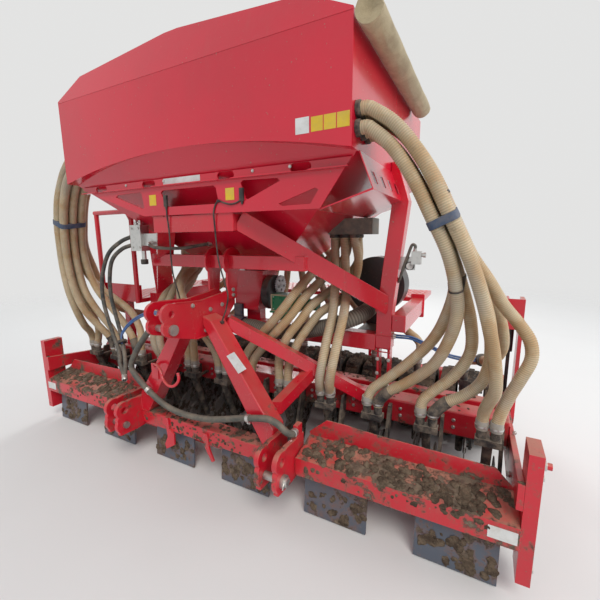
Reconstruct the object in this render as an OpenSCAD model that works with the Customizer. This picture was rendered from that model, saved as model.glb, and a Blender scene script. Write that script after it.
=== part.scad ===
/* [Front beam] */
// Width over the end plates
machine_w = 2990; // [2700:10:3300]
// Thickness of an end plate
end_plate_t = 45; // [30:1:60]
// Depth of an end plate, front to back
end_plate_d = 120; // [100:5:160]
// Height of an end plate's top above the ground
end_plate_top = 576; // [540:2:640]
// Height of an end plate's foot above the ground
end_plate_foot = 80; // [50:2:120]
// Depth of the front beam
beam_d = 90; // [80:5:100]
// Height of the front beam
beam_h = 80; // [70:5:90]
// Height of the beam's underside above the ground
beam_z = 212; // [205:1:225]
// Plate thickness of the guards
guard_t = 6; // [4:1:10]

/* [Hitch] */
// Distance between the middles of the two lower hitch points
hitch_span = 1028; // [960:2:1100]
// Gap between the two plates of a lower hitch point
hitch_gap = 65; // [55:1:75]
// Thickness of a lower hitch plate
hitch_plate_t = 25; // [16:1:30]
// Bore of the lower hitch points
hitch_bore = 37; // [28:0.5:40]
// Bore of the top link points
top_link_bore = 32; // [25:0.5:34]
// Gap between the top link plates
top_link_gap = 80; // [60:1:90]
// Thickness of a top link plate
top_link_t = 16; // [12:1:20]
// Width of the headstock tubes
leg_w = 100; // [80:5:120]

/* [Main frame] */
// Side of the square main tube
main_tube_w = 120; // [100:5:130]
// Height of the main tube's middle above the ground
main_tube_z = 402; // [396:1:410]
// Side of the square tubes of the hopper frame
frame_tube_w = 90; // [80:5:100]

/* [Hopper] */
// Width of the hopper
hopper_w = 1680; // [1500:10:1800]
// Depth of the hopper, front to back
hopper_d = 1300; // [1200:10:1400]
// Height of the front panel's lower corners above the ground
hopper_z = 1590; // [1580:5:1640]
// Height of the hopper's straight panels
hopper_h = 426; // [380:2:500]
// Rise of the gabled front edge over its corners
arch_rise = 154; // [100:2:220]
// Rise of the bowed crease under the front panel
bow_rise = 95; // [60:5:120]
// Thickness of the hopper's panels
hopper_t = 4; // [3:0.5:8]
// Diameter of the rolled cover
cover_d = 105; // [80:5:130]

/* [Seed hoses] */
// Outer diameter of a seed hose
hose_d = 50; // [40:1:52]
// Outer diameter of the air duct
duct_d = 90; // [70:2:100]

/* [Ground tools] */
// Distance between neighbouring seed rows
row_pitch = 125; // [120:1:127]
// Diameter of a disc
disc_d = 320; // [280:5:330]
// Thickness of a disc
disc_t = 5; // [4:0.5:8]
// Outer diameter of a packer ring, over its lugs
ring_d = 450; // [430:5:460]
// Width of a packer ring
ring_w = 90; // [80:2:92]
// Number of lugs around a packer ring
ring_lugs = 12; // [8:1:16]
// Diameter of the packer's shaft
shaft_d = 60; // [50:5:70]
// Width of a levelling board
board_w = 300; // [240:5:340]
// Thickness of a levelling board
board_t = 12; // [8:1:16]
// Height of a levelling board
board_h = 180; // [150:5:185]
// Diameter of the levelling boards' tube
board_tube_d = 60; // [48:2:60]

/* [Hidden] */

red = [0.72, 0.04, 0.07];
steel = [0.55, 0.56, 0.6];
board_blue = [0.42, 0.47, 0.55];
soil = [0.24, 0.18, 0.14];
black = [0.08, 0.08, 0.09];
tan_hose = [0.78, 0.68, 0.52];
cream = [0.86, 0.8, 0.68];
grey = [0.5, 0.5, 0.5];

// Clearance between pieces that only touch
seat = 0.3;

// Front and rear ends of the whole machine, from the front beam's face
front_y = -245;
rear_y = 1760;
mid_y = (front_y + rear_y) / 2;

end_x = machine_w / 2;
inner_x = end_x - end_plate_t;
beam_top = beam_z + beam_h;
main_tube_y = 500;
main_top = main_tube_z + main_tube_w / 2;
main_front = main_tube_y - main_tube_w / 2;
inner_plate_x = hitch_span / 2 - hitch_gap / 2 - hitch_plate_t;

// Lower hitch points: the pin and the spare hole over it
hitch_pin_y = -112;
hitch_pin_z = 250;
hitch_hole_z = 335;

// Top link: the pin and the spare hole over it
top_pin_y = -188;
top_pin_z = 878;
top_hole_z = 950;

// The headstock's head, where its legs meet under the top link plates
head_z = 905;
head_x = 105;
leg_y = beam_d / 2 + 5;
plate_x = top_link_gap / 2;
plate_outer = plate_x + top_link_t;
stay_w = 60;

// The hopper frame: top beam at the front, two diagonals, two posts
top_beam_y = 50;
top_beam_z = 1355;
top_beam_x = 260;
top_beam_w = 80;
knee_x = 830;
knee_y = 545;
knee_z = 930;
cross_y = 240;
cross_z = 1160;
cross_w = 70;
lower_tube_z = 730;
post_w = 80;
post_x = 830;
post_foot_z = 700;
post_bend_z = 900;
post_top_x = 890;
post_top_z = 1455;
post_plate_t = 12;

// The hopper: its seams, and the funnel under it
half_hopper = hopper_w / 2;
hopper_y = -60;
hopper_back = hopper_y + hopper_d;
hopper_top = hopper_z + hopper_h;
seam_y = 0;
back_seam_y = hopper_back + hopper_y - seam_y;
funnel_z = 1130;
funnel_x = 270;
funnel_front = 400;
funnel_back = hopper_back + hopper_y - funnel_front;
arch_lean = 10;
skirt_t = 8;
skirt_y = top_beam_y - 35 - skirt_t;

front_row_y = 340;
rear_row_y = 700;
disc_z = disc_d / 2;
packer_y = 1100;
packer_z = ring_d / 2;
arm_t = 22;
arm_x = inner_x - arm_t;
hanger_t = 20;
hanger_x = end_x - hanger_t;
hanger_top = 930;

// As many packer rings as fit between the side arms, and a coulter for each in turn
ring_rows = 2 * floor((arm_x - ring_w / 2 - 5) / row_pitch) + 1;
front_rows = (ring_rows + 1) / 2;
rear_rows = (ring_rows - 1) / 2;

board_count = 6;
board_reach = inner_x - 50;
board_pitch = (2 * board_reach - board_w) / (board_count - 1);
board_y = 30;
board_tilt = 5;
board_foot = 4;
board_tube_y = 95;
board_tube_z = 165;

rear_beam_y = 700;
rear_beam_z = 400;
rear_beam_w = 80;
rear_tube_y = packer_y + 260;
rear_tube_z = 285;
rear_tube_w = 80;
tread_z = 850;
tread_t = 30;
tread_skin = 5;
walkway_y = 1345;

hub_d = 24;
coulter_arm_t = 14;
boot_d = 40;
boot_side = 34;
arm_side = 24;
neck_gap = 27;
neck_top = 480;
front_boot_y = 300;
rear_boot_y = 790;
rear_neck_top = 560;

function row_x(i, count) = (i - (count - 1) / 2) * 2 * row_pitch;
function ring_x(i) = (i - (ring_rows - 1) / 2) * row_pitch;
function board_x(i) = (i - (board_count - 1) / 2) * board_pitch;
function side_of(x) = x < -1 ? -1 : 1;

// Lays out the machine with its bounding box middle over the origin
module placed() {
    translate([0, -mid_y, 0]) children();
}

// The same piece on both sides of the machine
module both_sides() {
    children();
    mirror([1, 0, 0]) children();
}

// A rectangular bar between two points
module bar(a, b, w, h) {
    d = b - a;
    flat = norm([d.x, d.y]);
    translate(a)
        rotate([0, -atan2(d.z, flat), atan2(d.y, d.x)])
            translate([0, -w / 2, -h / 2])
                cube([norm(d), w, h]);
}

// A round bar between two points
module rod(a, b, d) {
    v = b - a;
    flat = norm([v.x, v.y]);
    translate(a)
        rotate([0, 90 - atan2(v.z, flat), atan2(v.y, v.x)])
            cylinder(h = norm(v), d = d, $fn = 32);
}

// A cylinder along X from x to x + l
module x_cylinder(x, y, z, l, d, fn = 48) {
    translate([x, y, z]) rotate([0, 90, 0]) cylinder(h = l, d = d, $fn = fn);
}

// A plate whose outline lies in the YZ plane, from x to x + t
module side_plate(x, t, outline) {
    translate([x, 0, 0])
        rotate([90, 0, 90])
            linear_extrude(t)
                polygon(outline);
}

// A plate whose outline lies in the XZ plane, from y to y + t
module front_plate(y, t, outline) {
    translate([0, y + t, 0])
        rotate([90, 0, 0])
            linear_extrude(t)
                polygon(outline);
}

// A square tube along X, drawn as its outer shape, between -x and x
module cross_bar(x, y, z, w, h) {
    translate([-x, y - w / 2, z - h / 2]) cube([2 * x, w, h]);
}

// Sweeps a round tube along points, with one ring of sides points at each
function unit(v) = v / norm(v);
function along(p, i) = unit(
    i == 0 ? p[1] - p[0]
    : i == len(p) - 1 ? p[i] - p[i - 1]
    : unit(p[i] - p[i - 1]) + unit(p[i + 1] - p[i])
);
function across(t) = unit(cross(t, abs(t.x) < 0.8 ? [1, 0, 0] : [0, 1, 0]));
function carried(n, t) = unit(n - (n * t) * t);
function normals(p, i = 0, n = undef) =
    i == len(p) ? []
    : let (t = along(p, i), m = is_undef(n) ? across(t) : carried(n, t))
        concat([m], normals(p, i + 1, m));
function ring(c, t, n, r, sides) = [
    for (k = [0:sides - 1])
        c + r * (cos(360 * k / sides) * n + sin(360 * k / sides) * cross(t, n))
];
module swept(points, d, sides = 8) {
    n = normals(points);
    rings = [for (i = [0:len(points) - 1]) each ring(points[i], along(points, i), n[i], d / 2, sides)];
    last = (len(points) - 1) * sides;
    walls = [
        for (i = [0:len(points) - 2]) for (k = [0:sides - 1])
            let (j = (k + 1) % sides)
                [(i + 1) * sides + k, (i + 1) * sides + j, i * sides + j, i * sides + k]
    ];
    caps = [
        [for (k = [0:sides - 1]) k],
        [for (k = [0:sides - 1]) last + sides - 1 - k]
    ];
    polyhedron(points = rings, faces = concat(walls, caps), convexity = 6);
}

// A smooth route through hand-chosen points, with a few steps per stretch
function spline_at(a, b, c, d, t) =
    0.5 * ((2 * b) + (c - a) * t + (2 * a - 5 * b + 4 * c - d) * t * t
        + (3 * b - a - 3 * c + d) * t * t * t);
function smooth(p, steps) = concat([
    for (i = [0:len(p) - 2]) for (s = [0:steps - 1])
        spline_at(p[max(i - 1, 0)], p[i], p[i + 1], p[min(i + 2, len(p) - 1)], s / steps)
], [p[len(p) - 1]]);
module hose(points, d = hose_d, steps = 2, sides = 8) {
    n = len(points);
    swept(concat([points[0]], smooth([for (i = [1:n - 2]) points[i]], steps), [points[n - 1]]), d, sides);
}

// FRONT BEAM

module beam_solid() {
    translate([-inner_x, 0, beam_z]) cube([2 * inner_x, beam_d, beam_h]);
}

module front_beam() {
    color(red) placed() beam_solid();
}

// Upright plates that close the beam's ends, each with a short peg outside
module end_plates() {
    peg_l = 30;
    peg_d = 24;
    color(red) placed() both_sides() {
        translate([inner_x, 0, end_plate_foot])
            cube([end_plate_t, end_plate_d, end_plate_top - end_plate_foot]);
        x_cylinder(end_x - 1, end_plate_d / 2, end_plate_top - 60, peg_l + 1, peg_d, 24);
    }
}

// Folded guards over the beam, outside the hitch points
module wing_guards() {
    tray_back = 150;
    ridge = 38;
    lip_top = 430;
    start_x = hitch_span / 2 + hitch_gap / 2 + hitch_plate_t + 5;
    color(red) placed() both_sides() intersection() {
        side_plate(start_x, inner_x - start_x, [
            [-guard_t, beam_z],
            [0, beam_z],
            [0, beam_top],
            [tray_back, beam_top + ridge],
            [tray_back, lip_top],
            [tray_back - guard_t, lip_top],
            [tray_back - guard_t, beam_top + ridge + guard_t],
            [-guard_t, beam_top + guard_t]
        ]);
        front_plate(-50, 300, [
            [start_x, 0],
            [inner_x, 0],
            [inner_x, beam_top + 44],
            [arm_x - 2, beam_top + 60],
            [inner_x - 80, lip_top - 20],
            [start_x + 330, lip_top - 10],
            [start_x + 180, lip_top],
            [start_x + 90, lip_top],
            [start_x, beam_top + 60]
        ]);
    }
}

// HITCH

// A lower hitch plate seen from the side, with its two bores
module hitch_outline() {
    difference() {
        union() {
            polygon([
                [beam_d, beam_z], [beam_d, beam_top + 85], [0, beam_top + 85], [-60, hitch_hole_z + 48],
                [-120, hitch_hole_z + 40], [-160, hitch_pin_z + 42], [-150, hitch_pin_z - 52],
                [-40, hitch_pin_z - 60], [20, beam_z - 18], [40, beam_z]
            ]);
            translate([hitch_pin_y, hitch_pin_z]) circle(d = 2.9 * hitch_bore, $fn = 48);
            translate([hitch_pin_y, hitch_hole_z]) circle(d = 2.7 * hitch_bore, $fn = 48);
        }
        translate([hitch_pin_y, hitch_pin_z]) circle(d = hitch_bore, $fn = 48);
        translate([hitch_pin_y, hitch_hole_z]) circle(d = hitch_bore, $fn = 48);
    }
}

module hitch_brackets() {
    color(red) placed() both_sides() difference() {
        for (x = [inner_plate_x, hitch_span / 2 + hitch_gap / 2])
            translate([x, 0, 0])
                rotate([90, 0, 90])
                    linear_extrude(hitch_plate_t)
                        hitch_outline();
        beam_solid();
    }
    color(red) placed()
        translate([ear_x - hitch_plate_t / 2, ear_y, ear_z - 1]) cube([hitch_plate_t, 45, ear_h + 1]);
}

// Pins of the lower hitch points, with a collar outside
module hitch_pins() {
    span = hitch_gap + 2 * hitch_plate_t;
    spare = 12;
    collar_t = 14;
    pin_d = hitch_bore - 2 * seat;
    color(steel) placed() both_sides() {
        x_cylinder(hitch_span / 2 - span / 2 - spare, hitch_pin_y, hitch_pin_z, span + 2 * spare, pin_d);
        x_cylinder(hitch_span / 2 + span / 2 + seat, hitch_pin_y, hitch_pin_z, collar_t, 1.6 * pin_d);
    }
}

// The headstock's legs, seen from the front, with their feet between the hitch plates
module leg_solids() {
    lean = (inner_plate_x - head_x) / (head_z - beam_top);
    half = leg_w / 2 * sqrt(1 + lean * lean);
    cut_z = beam_top + half / lean;
    both_sides() front_plate(leg_y - leg_w / 2, leg_w, [
        [inner_plate_x - half, beam_top],
        [inner_plate_x, beam_top],
        [inner_plate_x, cut_z],
        [plate_outer + 55, head_z - 20],
        [plate_outer, head_z],
        [plate_outer, head_z - (head_x - half - plate_outer) / lean - 60]
    ]);
}

module headstock_legs() {
    color(red) placed() leg_solids();
}

// A top link plate seen from the side, with its two bores
module top_plate_outline() {
    difference() {
        union() {
            polygon([
                [-205, 1000], [0, 984], [160, 1000], [225, 1010], [262, 990], [262, 930],
                [200, 870], [95, 800], [-52, 800], [-215, 850]
            ]);
            translate([-200, 952]) circle(d = 90, $fn = 48);
            translate([-200, 890]) circle(d = 84, $fn = 48);
        }
        translate([top_pin_y, top_pin_z]) circle(d = top_link_bore, $fn = 48);
        translate([top_pin_y, top_hole_z]) circle(d = top_link_bore, $fn = 48);
    }
}

module top_link_plates() {
    color(red) placed() both_sides()
        translate([plate_x, 0, 0])
            rotate([90, 0, 90])
                linear_extrude(top_link_t)
                    top_plate_outline();
}

module top_link_pin() {
    spare = 14;
    collar_t = 12;
    pin_d = top_link_bore - 2 * seat;
    color(steel) placed() {
        x_cylinder(-plate_outer - spare, top_pin_y, top_pin_z, 2 * (plate_outer + spare), pin_d);
        x_cylinder(plate_outer + seat, top_pin_y, top_pin_z, collar_t, 1.6 * pin_d);
    }
}

// Straps from the top link plates up to the cross tube, with round heads
module head_straps() {
    strap_t = 14;
    color(red) placed() both_sides() difference() {
        union() {
            side_plate(plate_outer, strap_t, [[190, 960], [262, 960], [290, cross_z], [190, cross_z]]);
            x_cylinder(plate_outer, cross_y, cross_z, strap_t, 150);
        }
        cross_bar(500, cross_y, cross_z, cross_w, cross_w);
    }
}

module cross_tube() {
    color(red) placed() difference() {
        cross_bar(520, cross_y, cross_z, cross_w, cross_w);
        diagonal_solids();
    }
}

// Long stays from the headstock to the main tube's ends, each with a strut from the leg
module stay_solid() {
    bar([plate_outer + 60, leg_y + leg_w / 2 + 20, 860],
        [post_x - 30, main_front + 30, main_tube_z + 20], stay_w, stay_w);
}

module back_stays() {
    strut_w = 56;
    color(red) placed() both_sides() difference() {
        union() {
            stay_solid();
            bar([inner_plate_x - 64, leg_y, 425], [inner_plate_x + 42, 312, 580], strut_w, strut_w);
        }
        translate([-1, -400, 0]) cube([1000, 400 + leg_y + leg_w / 2, 2000]);
        main_tube_solid();
        translate([plate_outer - 100, -400, 600]) cube([100, 1000, 600]);
    }
}

// MAIN FRAME

module main_tube_solid() {
    cross_bar(arm_x, main_tube_y, main_tube_z, main_tube_w, main_tube_w);
}

module main_tube() {
    color(red) placed() main_tube_solid();
}

// Side plates from the front beam back to the rear tube, round the packer's shaft
module side_arm_solid() {
    back = rear_tube_y + rear_tube_w + 10;
    difference() {
        side_plate(arm_x, arm_t, [
            [0, 362], [0, 462], [packer_y - 120, 345], [back, 330],
            [back, 240], [packer_y + 60, 215], [packer_y - 60, 215],
            [packer_y - 260, 200], [240, 230], [165, 362]
        ]);
        x_cylinder(arm_x - 1, packer_y, packer_z, arm_t + 2, shaft_d + 30);
    }
}

module side_arms() {
    color(red) placed() both_sides() side_arm_solid();
}

module diagonal_solids() {
    both_sides()
        bar([top_beam_x - 20, top_beam_y + 30, top_beam_z + 10], [knee_x, knee_y, knee_z],
            frame_tube_w, frame_tube_w);
}

module top_beam_solid() {
    cross_bar(top_beam_x, top_beam_y + 5, top_beam_z, top_beam_w, top_beam_w);
}

module top_beam() {
    color(red) placed() top_beam_solid();
}

module diagonals() {
    color(red) placed() difference() {
        diagonal_solids();
        top_beam_solid();
        translate([-end_x, knee_y - post_w / 2, 0]) cube([2 * end_x, 500, 2000]);
    }
}

// Posts of the hopper frame: a bent tube, two plates under it and a head against the hopper
module post_solids() {
    inside = post_x - post_w / 2;
    outside = post_x + post_w / 2;
    both_sides() {
        front_plate(knee_y - post_w / 2, post_w, [
            [inside, post_foot_z],
            [outside, post_foot_z],
            [outside, post_bend_z],
            [post_top_x + post_w / 2, post_top_z],
            [half_hopper + 32, hopper_z + 50],
            [half_hopper, hopper_z + 50],
            [half_hopper, hopper_z],
            [post_top_x - post_w / 2, post_top_z],
            [inside, post_bend_z]
        ]);
        for (x = [inside + 6, outside - 6 - post_plate_t])
            translate([x, knee_y - 30, main_top]) cube([post_plate_t, 60, post_foot_z + 2 - main_top]);
    }
}

module hopper_posts() {
    color(red) placed() post_solids();
}

module lower_cross_tube() {
    color(red) placed() cross_bar(post_x - post_w / 2, knee_y, lower_tube_z, post_w, frame_tube_w);
}

// Short beams that run back from the posts
module rear_arms() {
    end_plate = 12;
    arm_l = 560;
    x = post_x + post_w / 2;
    color(red) placed() both_sides() {
        translate([x, knee_y - post_w / 2, 800]) cube([70, arm_l, 90]);
        translate([x - 8, knee_y - post_w / 2 + arm_l - 1, 770]) cube([86, end_plate + 1, 150]);
    }
}

// HOPPER

// Points of a shallow arc from [-half, z] to [half, z], rising in its middle
function arc_edge(half, z, rise, n = 16) =
    let (r = (half * half + rise * rise) / (2 * rise), a = asin(half / r))
        [for (i = [0:n]) [r * sin(-a + 2 * a * i / n), z + rise - r + r * cos(-a + 2 * a * i / n)]];

// The gabled top of an end wall, leaning inwards from the fold: steep shoulders, then two long low slopes
module arch_wall() {
    side = half_hopper - 1;
    shoulder_x = 0.776 * half_hopper;
    shoulder_z = 0.64 * arch_rise;
    crown = 40;
    translate([0, hopper_y + hopper_t, hopper_top])
        rotate([-arch_lean, 0, 0])
            translate([0, -hopper_t, 0])
                front_plate(0, hopper_t, [
                    [side, -8], [side, 2], [shoulder_x, shoulder_z], [crown, arch_rise],
                    [-crown, arch_rise], [-shoulder_x, shoulder_z], [-side, 2], [-side, -8]
                ]);
}

// The box of the hopper from front to back, inset by t on every side
function bin_outline(t) = [
    [hopper_y + t, hopper_top],
    [hopper_y + t, hopper_z + bow_rise - t * 0.6],
    [seam_y + t * 0.6, hopper_z + t * 0.8],
    [back_seam_y - t * 0.6, hopper_z + t * 0.8],
    [hopper_back - t, hopper_z + bow_rise - t * 0.6],
    [hopper_back - t, hopper_top]
];

// The four-sided funnel under the box; side and slope are the insets of its walls
module funnel(side, slope, lift) {
    top = hopper_z + lift * 3;
    intersection() {
        front_plate(seam_y, back_seam_y - seam_y, [
            [side - half_hopper, top], [side - half_hopper, hopper_z], [side - funnel_x, funnel_z + lift],
            [funnel_x - side, funnel_z + lift], [half_hopper - side, hopper_z], [half_hopper - side, top]
        ]);
        side_plate(-half_hopper, hopper_w, [
            [seam_y + slope, top], [seam_y + slope, hopper_z], [funnel_front + slope, funnel_z + lift],
            [funnel_back - slope, funnel_z + lift], [back_seam_y - slope, hopper_z], [back_seam_y - slope, top]
        ]);
    }
}

module bin_corner() {
    difference() {
        side_plate(-half_hopper, hopper_w, [
            [hopper_y, hopper_z + bow_rise], [hopper_y, hopper_z], [seam_y, hopper_z]
        ]);
        front_plate(hopper_y - 1, seam_y - hopper_y + 2, concat(
            arc_edge(half_hopper, hopper_z, bow_rise - 2), [[half_hopper, hopper_z - 1], [-half_hopper, hopper_z - 1]]
        ));
    }
}

module hopper() {
    color(red) placed() {
        arch_wall();
        translate([0, hopper_y + hopper_back, 0]) mirror([0, 1, 0]) arch_wall();
        difference() {
            union() {
                side_plate(-half_hopper, hopper_w, bin_outline(0));
                funnel(0, 0, 0);
            }
            side_plate(-half_hopper + hopper_t, hopper_w - 2 * hopper_t,
                concat([[hopper_y + hopper_t, hopper_top + 1]], bin_outline(hopper_t),
                    [[hopper_back - hopper_t, hopper_top + 1]]));
            funnel(hopper_t * 1.6, hopper_t * 1.4, hopper_t);
        }
        bin_corner();
    }
}

// A round-ended slot or a window with cut corners, through the skirt
module skirt_cut(outline) {
    front_plate(skirt_y - 30, skirt_t + 60, outline);
}
module skirt_slot(x, w, h) {
    translate([x, 0, 1556]) {
        translate([-w / 2, skirt_y - 30, -h / 2]) cube([w, skirt_t + 60, h]);
        for (side = [-1, 1])
            translate([side * w / 2, skirt_y - 30, 0])
                rotate([-90, 0, 0]) cylinder(h = skirt_t + 60, d = h, $fn = 32);
    }
}

// The pressed apron under the front panel, with its windows and slots
module hopper_skirt() {
    color(red) placed() difference() {
        union() {
            front_plate(skirt_y, skirt_t, [
                [-803, 1574], [-803, 1560], [-314, 1400], [690, 1394], [817, 1574]
            ]);
            translate([-803, skirt_y - 16, 1538]) cube([1610, 17, 5]);
        }
        skirt_cut([[-524, 1508], [-508, 1517], [-330, 1521], [-318, 1512], [-306, 1445], [-318, 1438]]);
        skirt_cut([
            [-178, 1508], [-166, 1519], [162, 1519], [175, 1508], [187, 1450],
            [176, 1438], [-132, 1439], [-146, 1450]
        ]);
        skirt_cut([[314, 1518], [326, 1529], [500, 1524], [512, 1512], [350, 1448], [336, 1454]]);
        skirt_cut([[504, 1422], [670, 1474], [684, 1466], [650, 1414], [520, 1412]]);
        for (x = [-642, -261, 233, 607]) skirt_slot(x, 60, 34);
        funnel(0, 0, 0);
    }
}

// The tray under the hopper's right side: a sloping floor and a leaning flange with square holes
module side_tray() {
    back = 650;
    outer_x = half_hopper + 60;
    low_z = 1457;
    hole = 46;
    color(red) placed() difference() {
        front_plate(skirt_y + skirt_t, back - skirt_y - skirt_t, [
            [681, 1388], [outer_x, low_z - 4], [half_hopper + 5, hopper_z + 2], [half_hopper, hopper_z + 2],
            [outer_x - 6, low_z + 2], [681, 1393]
        ]);
        for (i = [0:4])
            translate([half_hopper, 70 + i * 125, low_z + 26]) cube([100, hole, hole]);
        post_solids();
        funnel(-seat, -seat, 0);
    }
}

// Boxes under the funnel that share the seed out to the hoses
side_box_x = 490;
side_box_w = 250;
side_box_z = 1300;
side_box_y = 560;
rear_box_y = 800;
rear_box_z = 1290;
module outlet_boxes() {
    color(red) placed() difference() {
        union() {
            both_sides() translate([side_box_x, side_box_y, side_box_z]) cube([side_box_w, 125, 85]);
            translate([-310, rear_box_y, rear_box_z]) cube([620, 200, 200]);
        }
        funnel(0, 0, 0);
    }
}

module cover_roll() {
    x = half_hopper + cover_d / 2 + seat;
    color(cream) placed()
        rod([x, hopper_y - 10, hopper_top - 20], [x, hopper_y + 1000, hopper_top - 20], cover_d);
}

// GROUND TOOLS

module board_solids() {
    for (i = [0:board_count - 1])
        translate([board_x(i), board_y, board_foot])
            rotate([-board_tilt, 0, 0])
                translate([-board_w / 2, 0, 0]) cube([board_w, board_t, board_h]);
}

module board_carrier() {
    tube_l = 2 * (inner_x - seat);
    color(red) placed() difference() {
        union() {
            x_cylinder(-tube_l / 2, board_tube_y, board_tube_z, tube_l, board_tube_d);
            for (i = [0:board_count - 1]) for (side = [-1, 1])
                translate([board_x(i) + side * board_w / 3 - 15, board_y, board_tube_z - 20])
                    cube([30, board_tube_y - board_y, 40]);
        }
        board_solids();
        translate([-inner_x, 0, 0]) cube([2 * inner_x, board_y + 18, 400]);
    }
}

module levelling_boards() {
    color(board_blue) placed() board_solids();
}

module rear_coulter_beam() {
    color(red) placed() cross_bar(arm_x, rear_beam_y, rear_beam_z, rear_beam_w, rear_beam_w);
}

// An arm from its seat on a beam down to the disc's hub, beside the disc
module coulter_arm(x, y, seat_points) {
    x0 = x + side_of(x) * arm_side - coulter_arm_t / 2;
    difference() {
        union() {
            side_plate(x0, coulter_arm_t, concat(seat_points, [
                [y - 22, disc_z + 40], [y - 22, disc_z], [y + 22, disc_z], [y + 22, disc_z + 40]
            ]));
            x_cylinder(x0, y, disc_z, coulter_arm_t, 44);
        }
        x_cylinder(x0 - 20, y, disc_z, 60, hub_d + 2);
    }
}

// The seed boot beside the disc, with a neck for each hose and a bracket to the beam
module seed_boot(x, y, foot_y, head_z, top_z, necks, seat_y, bracket_z) {
    bx = x - side_of(x) * boot_side;
    head_w = 2 * max(necks) + boot_d + 8;
    translate([bx - head_w / 2, y - boot_d / 2 - 3, head_z - 30]) cube([head_w, boot_d + 6, 30]);
    for (n = necks) translate([bx + n, y, head_z - 5]) cylinder(h = top_z - head_z + 5, d = boot_d, $fn = 32);
    rod([bx, y, head_z - 12], [bx, foot_y, 45], boot_d);
    translate([bx - 10, min(y, seat_y), bracket_z])
        cube([20, abs(seat_y - y), 12]);
}

module front_coulters() {
    color(black) placed() for (i = [0:front_rows - 1]) {
        x = row_x(i, front_rows);
        coulter_arm(x, front_row_y, [
            [main_front, main_tube_z - 40], [main_front, main_tube_z + 40], [main_front - 40, main_tube_z + 40]
        ]);
        seed_boot(x, front_boot_y, 440, 440, neck_top, [-neck_gap, neck_gap], main_front, main_tube_z - 10);
    }
}

module rear_coulters() {
    back = rear_beam_y + rear_beam_w / 2;
    color(black) placed() for (i = [0:rear_rows - 1]) {
        x = row_x(i, rear_rows);
        coulter_arm(x, rear_row_y, [
            [rear_row_y + 30, rear_beam_z - rear_beam_w / 2], [rear_row_y - 30, rear_beam_z - rear_beam_w / 2]
        ]);
        seed_boot(x, rear_boot_y, 835, 500, rear_neck_top, [0], back, rear_beam_z - 10);
    }
}

// Section of a disc through its hub: a flat blade with a bevelled edge and a boss
function disc_section() = [
    [0, -8], [42, -8], [52, -disc_t / 2], [disc_d / 2 - 14, -disc_t / 2], [disc_d / 2, -0.8],
    [disc_d / 2, 0.8], [disc_d / 2 - 14, disc_t / 2], [52, disc_t / 2], [42, 8], [0, 8]
];

module disc_row(y, count) {
    hub_l = 36;
    for (i = [0:count - 1])
        translate([row_x(i, count), y, disc_z]) rotate([0, side_of(row_x(i, count)) * 90, 0]) {
            rotate_extrude($fn = 64) polygon(disc_section());
            cylinder(h = hub_l, d = hub_d, $fn = 48);
        }
}

module front_discs() {
    color(steel) placed() disc_row(front_row_y, front_rows);
}

module rear_discs() {
    color(steel) placed() disc_row(rear_row_y, rear_rows);
}

// A packer ring's face, with lugs of the given foot and tip widths and height
lug_h = 24;
module ring_outline(height, foot, tip) {
    root = ring_d / 2 - lug_h;
    difference() {
        union() {
            circle(r = root, $fn = 96);
            for (k = [0:ring_lugs - 1])
                rotate(360 * k / ring_lugs)
                    polygon([[root - 4, -foot], [root + height, -tip], [root + height, tip], [root - 4, foot]]);
        }
        circle(r = root - 40, $fn = 96);
    }
}

// The packer: rings with stepped lugs, webs with round holes and hubs, all on one shaft
module packer_rings() {
    web_d = ring_d - 2 * lug_h - 76;
    web_t = 14;
    web_hole = 70;
    web_hole_r = 105;
    color(soil) placed() {
        x_cylinder(-end_x, packer_y, packer_z, 2 * end_x, shaft_d);
        for (i = [0:ring_rows - 1])
            translate([ring_x(i), packer_y, packer_z]) rotate([0, 90, 0]) {
                translate([0, 0, -ring_w / 2]) linear_extrude(ring_w) ring_outline(lug_h / 2, 34, 22);
                translate([0, 0, -ring_w / 5]) linear_extrude(ring_w / 2.5) ring_outline(lug_h, 30, 11);
                difference() {
                    translate([0, 0, -web_t / 2]) cylinder(h = web_t, d = web_d, $fn = 96);
                    for (k = [0:5])
                        rotate(60 * k) translate([web_hole_r, 0, -20]) cylinder(h = 40, d = web_hole, $fn = 32);
                }
                translate([0, 0, -ring_w / 2]) cylinder(h = ring_w, d = shaft_d + 50, $fn = 48);
            }
    }
}

// Plates outside the side arms that carry the packer's shaft, turning on a low pivot
hanger_in = arm_x - 23;
hanger_wall = 12;
cage_h = 178;
module packer_hangers() {
    pivot_y = packer_y + 140;
    pivot_z = 285;
    color(red) placed() both_sides() difference() {
        union() {
            side_plate(hanger_x, hanger_t, [
                [packer_y - 75, packer_z], [packer_y - 60, 560], [packer_y - 60, hanger_top],
                [packer_y + 60, hanger_top], [packer_y + 75, packer_z]
            ]);
            x_cylinder(hanger_x, packer_y, packer_z, hanger_t, 150);
            x_cylinder(inner_x, pivot_y, pivot_z, hanger_x - inner_x + 1, 60);
            side_plate(hanger_x, hanger_t, [
                [packer_y, 240], [packer_y + 180, 240], [packer_y + 180, 330], [packer_y, 420]
            ]);
            translate([hanger_in, packer_y - 60, hanger_top - cage_h]) cube([hanger_wall, 120, cage_h]);
            translate([hanger_in, packer_y - 60, hanger_top - cage_h])
                cube([hanger_x - hanger_in + 1, hanger_wall, cage_h]);
        }
        x_cylinder(hanger_x - 1, packer_y, packer_z, hanger_t + 2, shaft_d + 2 * seat);
    }
}

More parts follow.
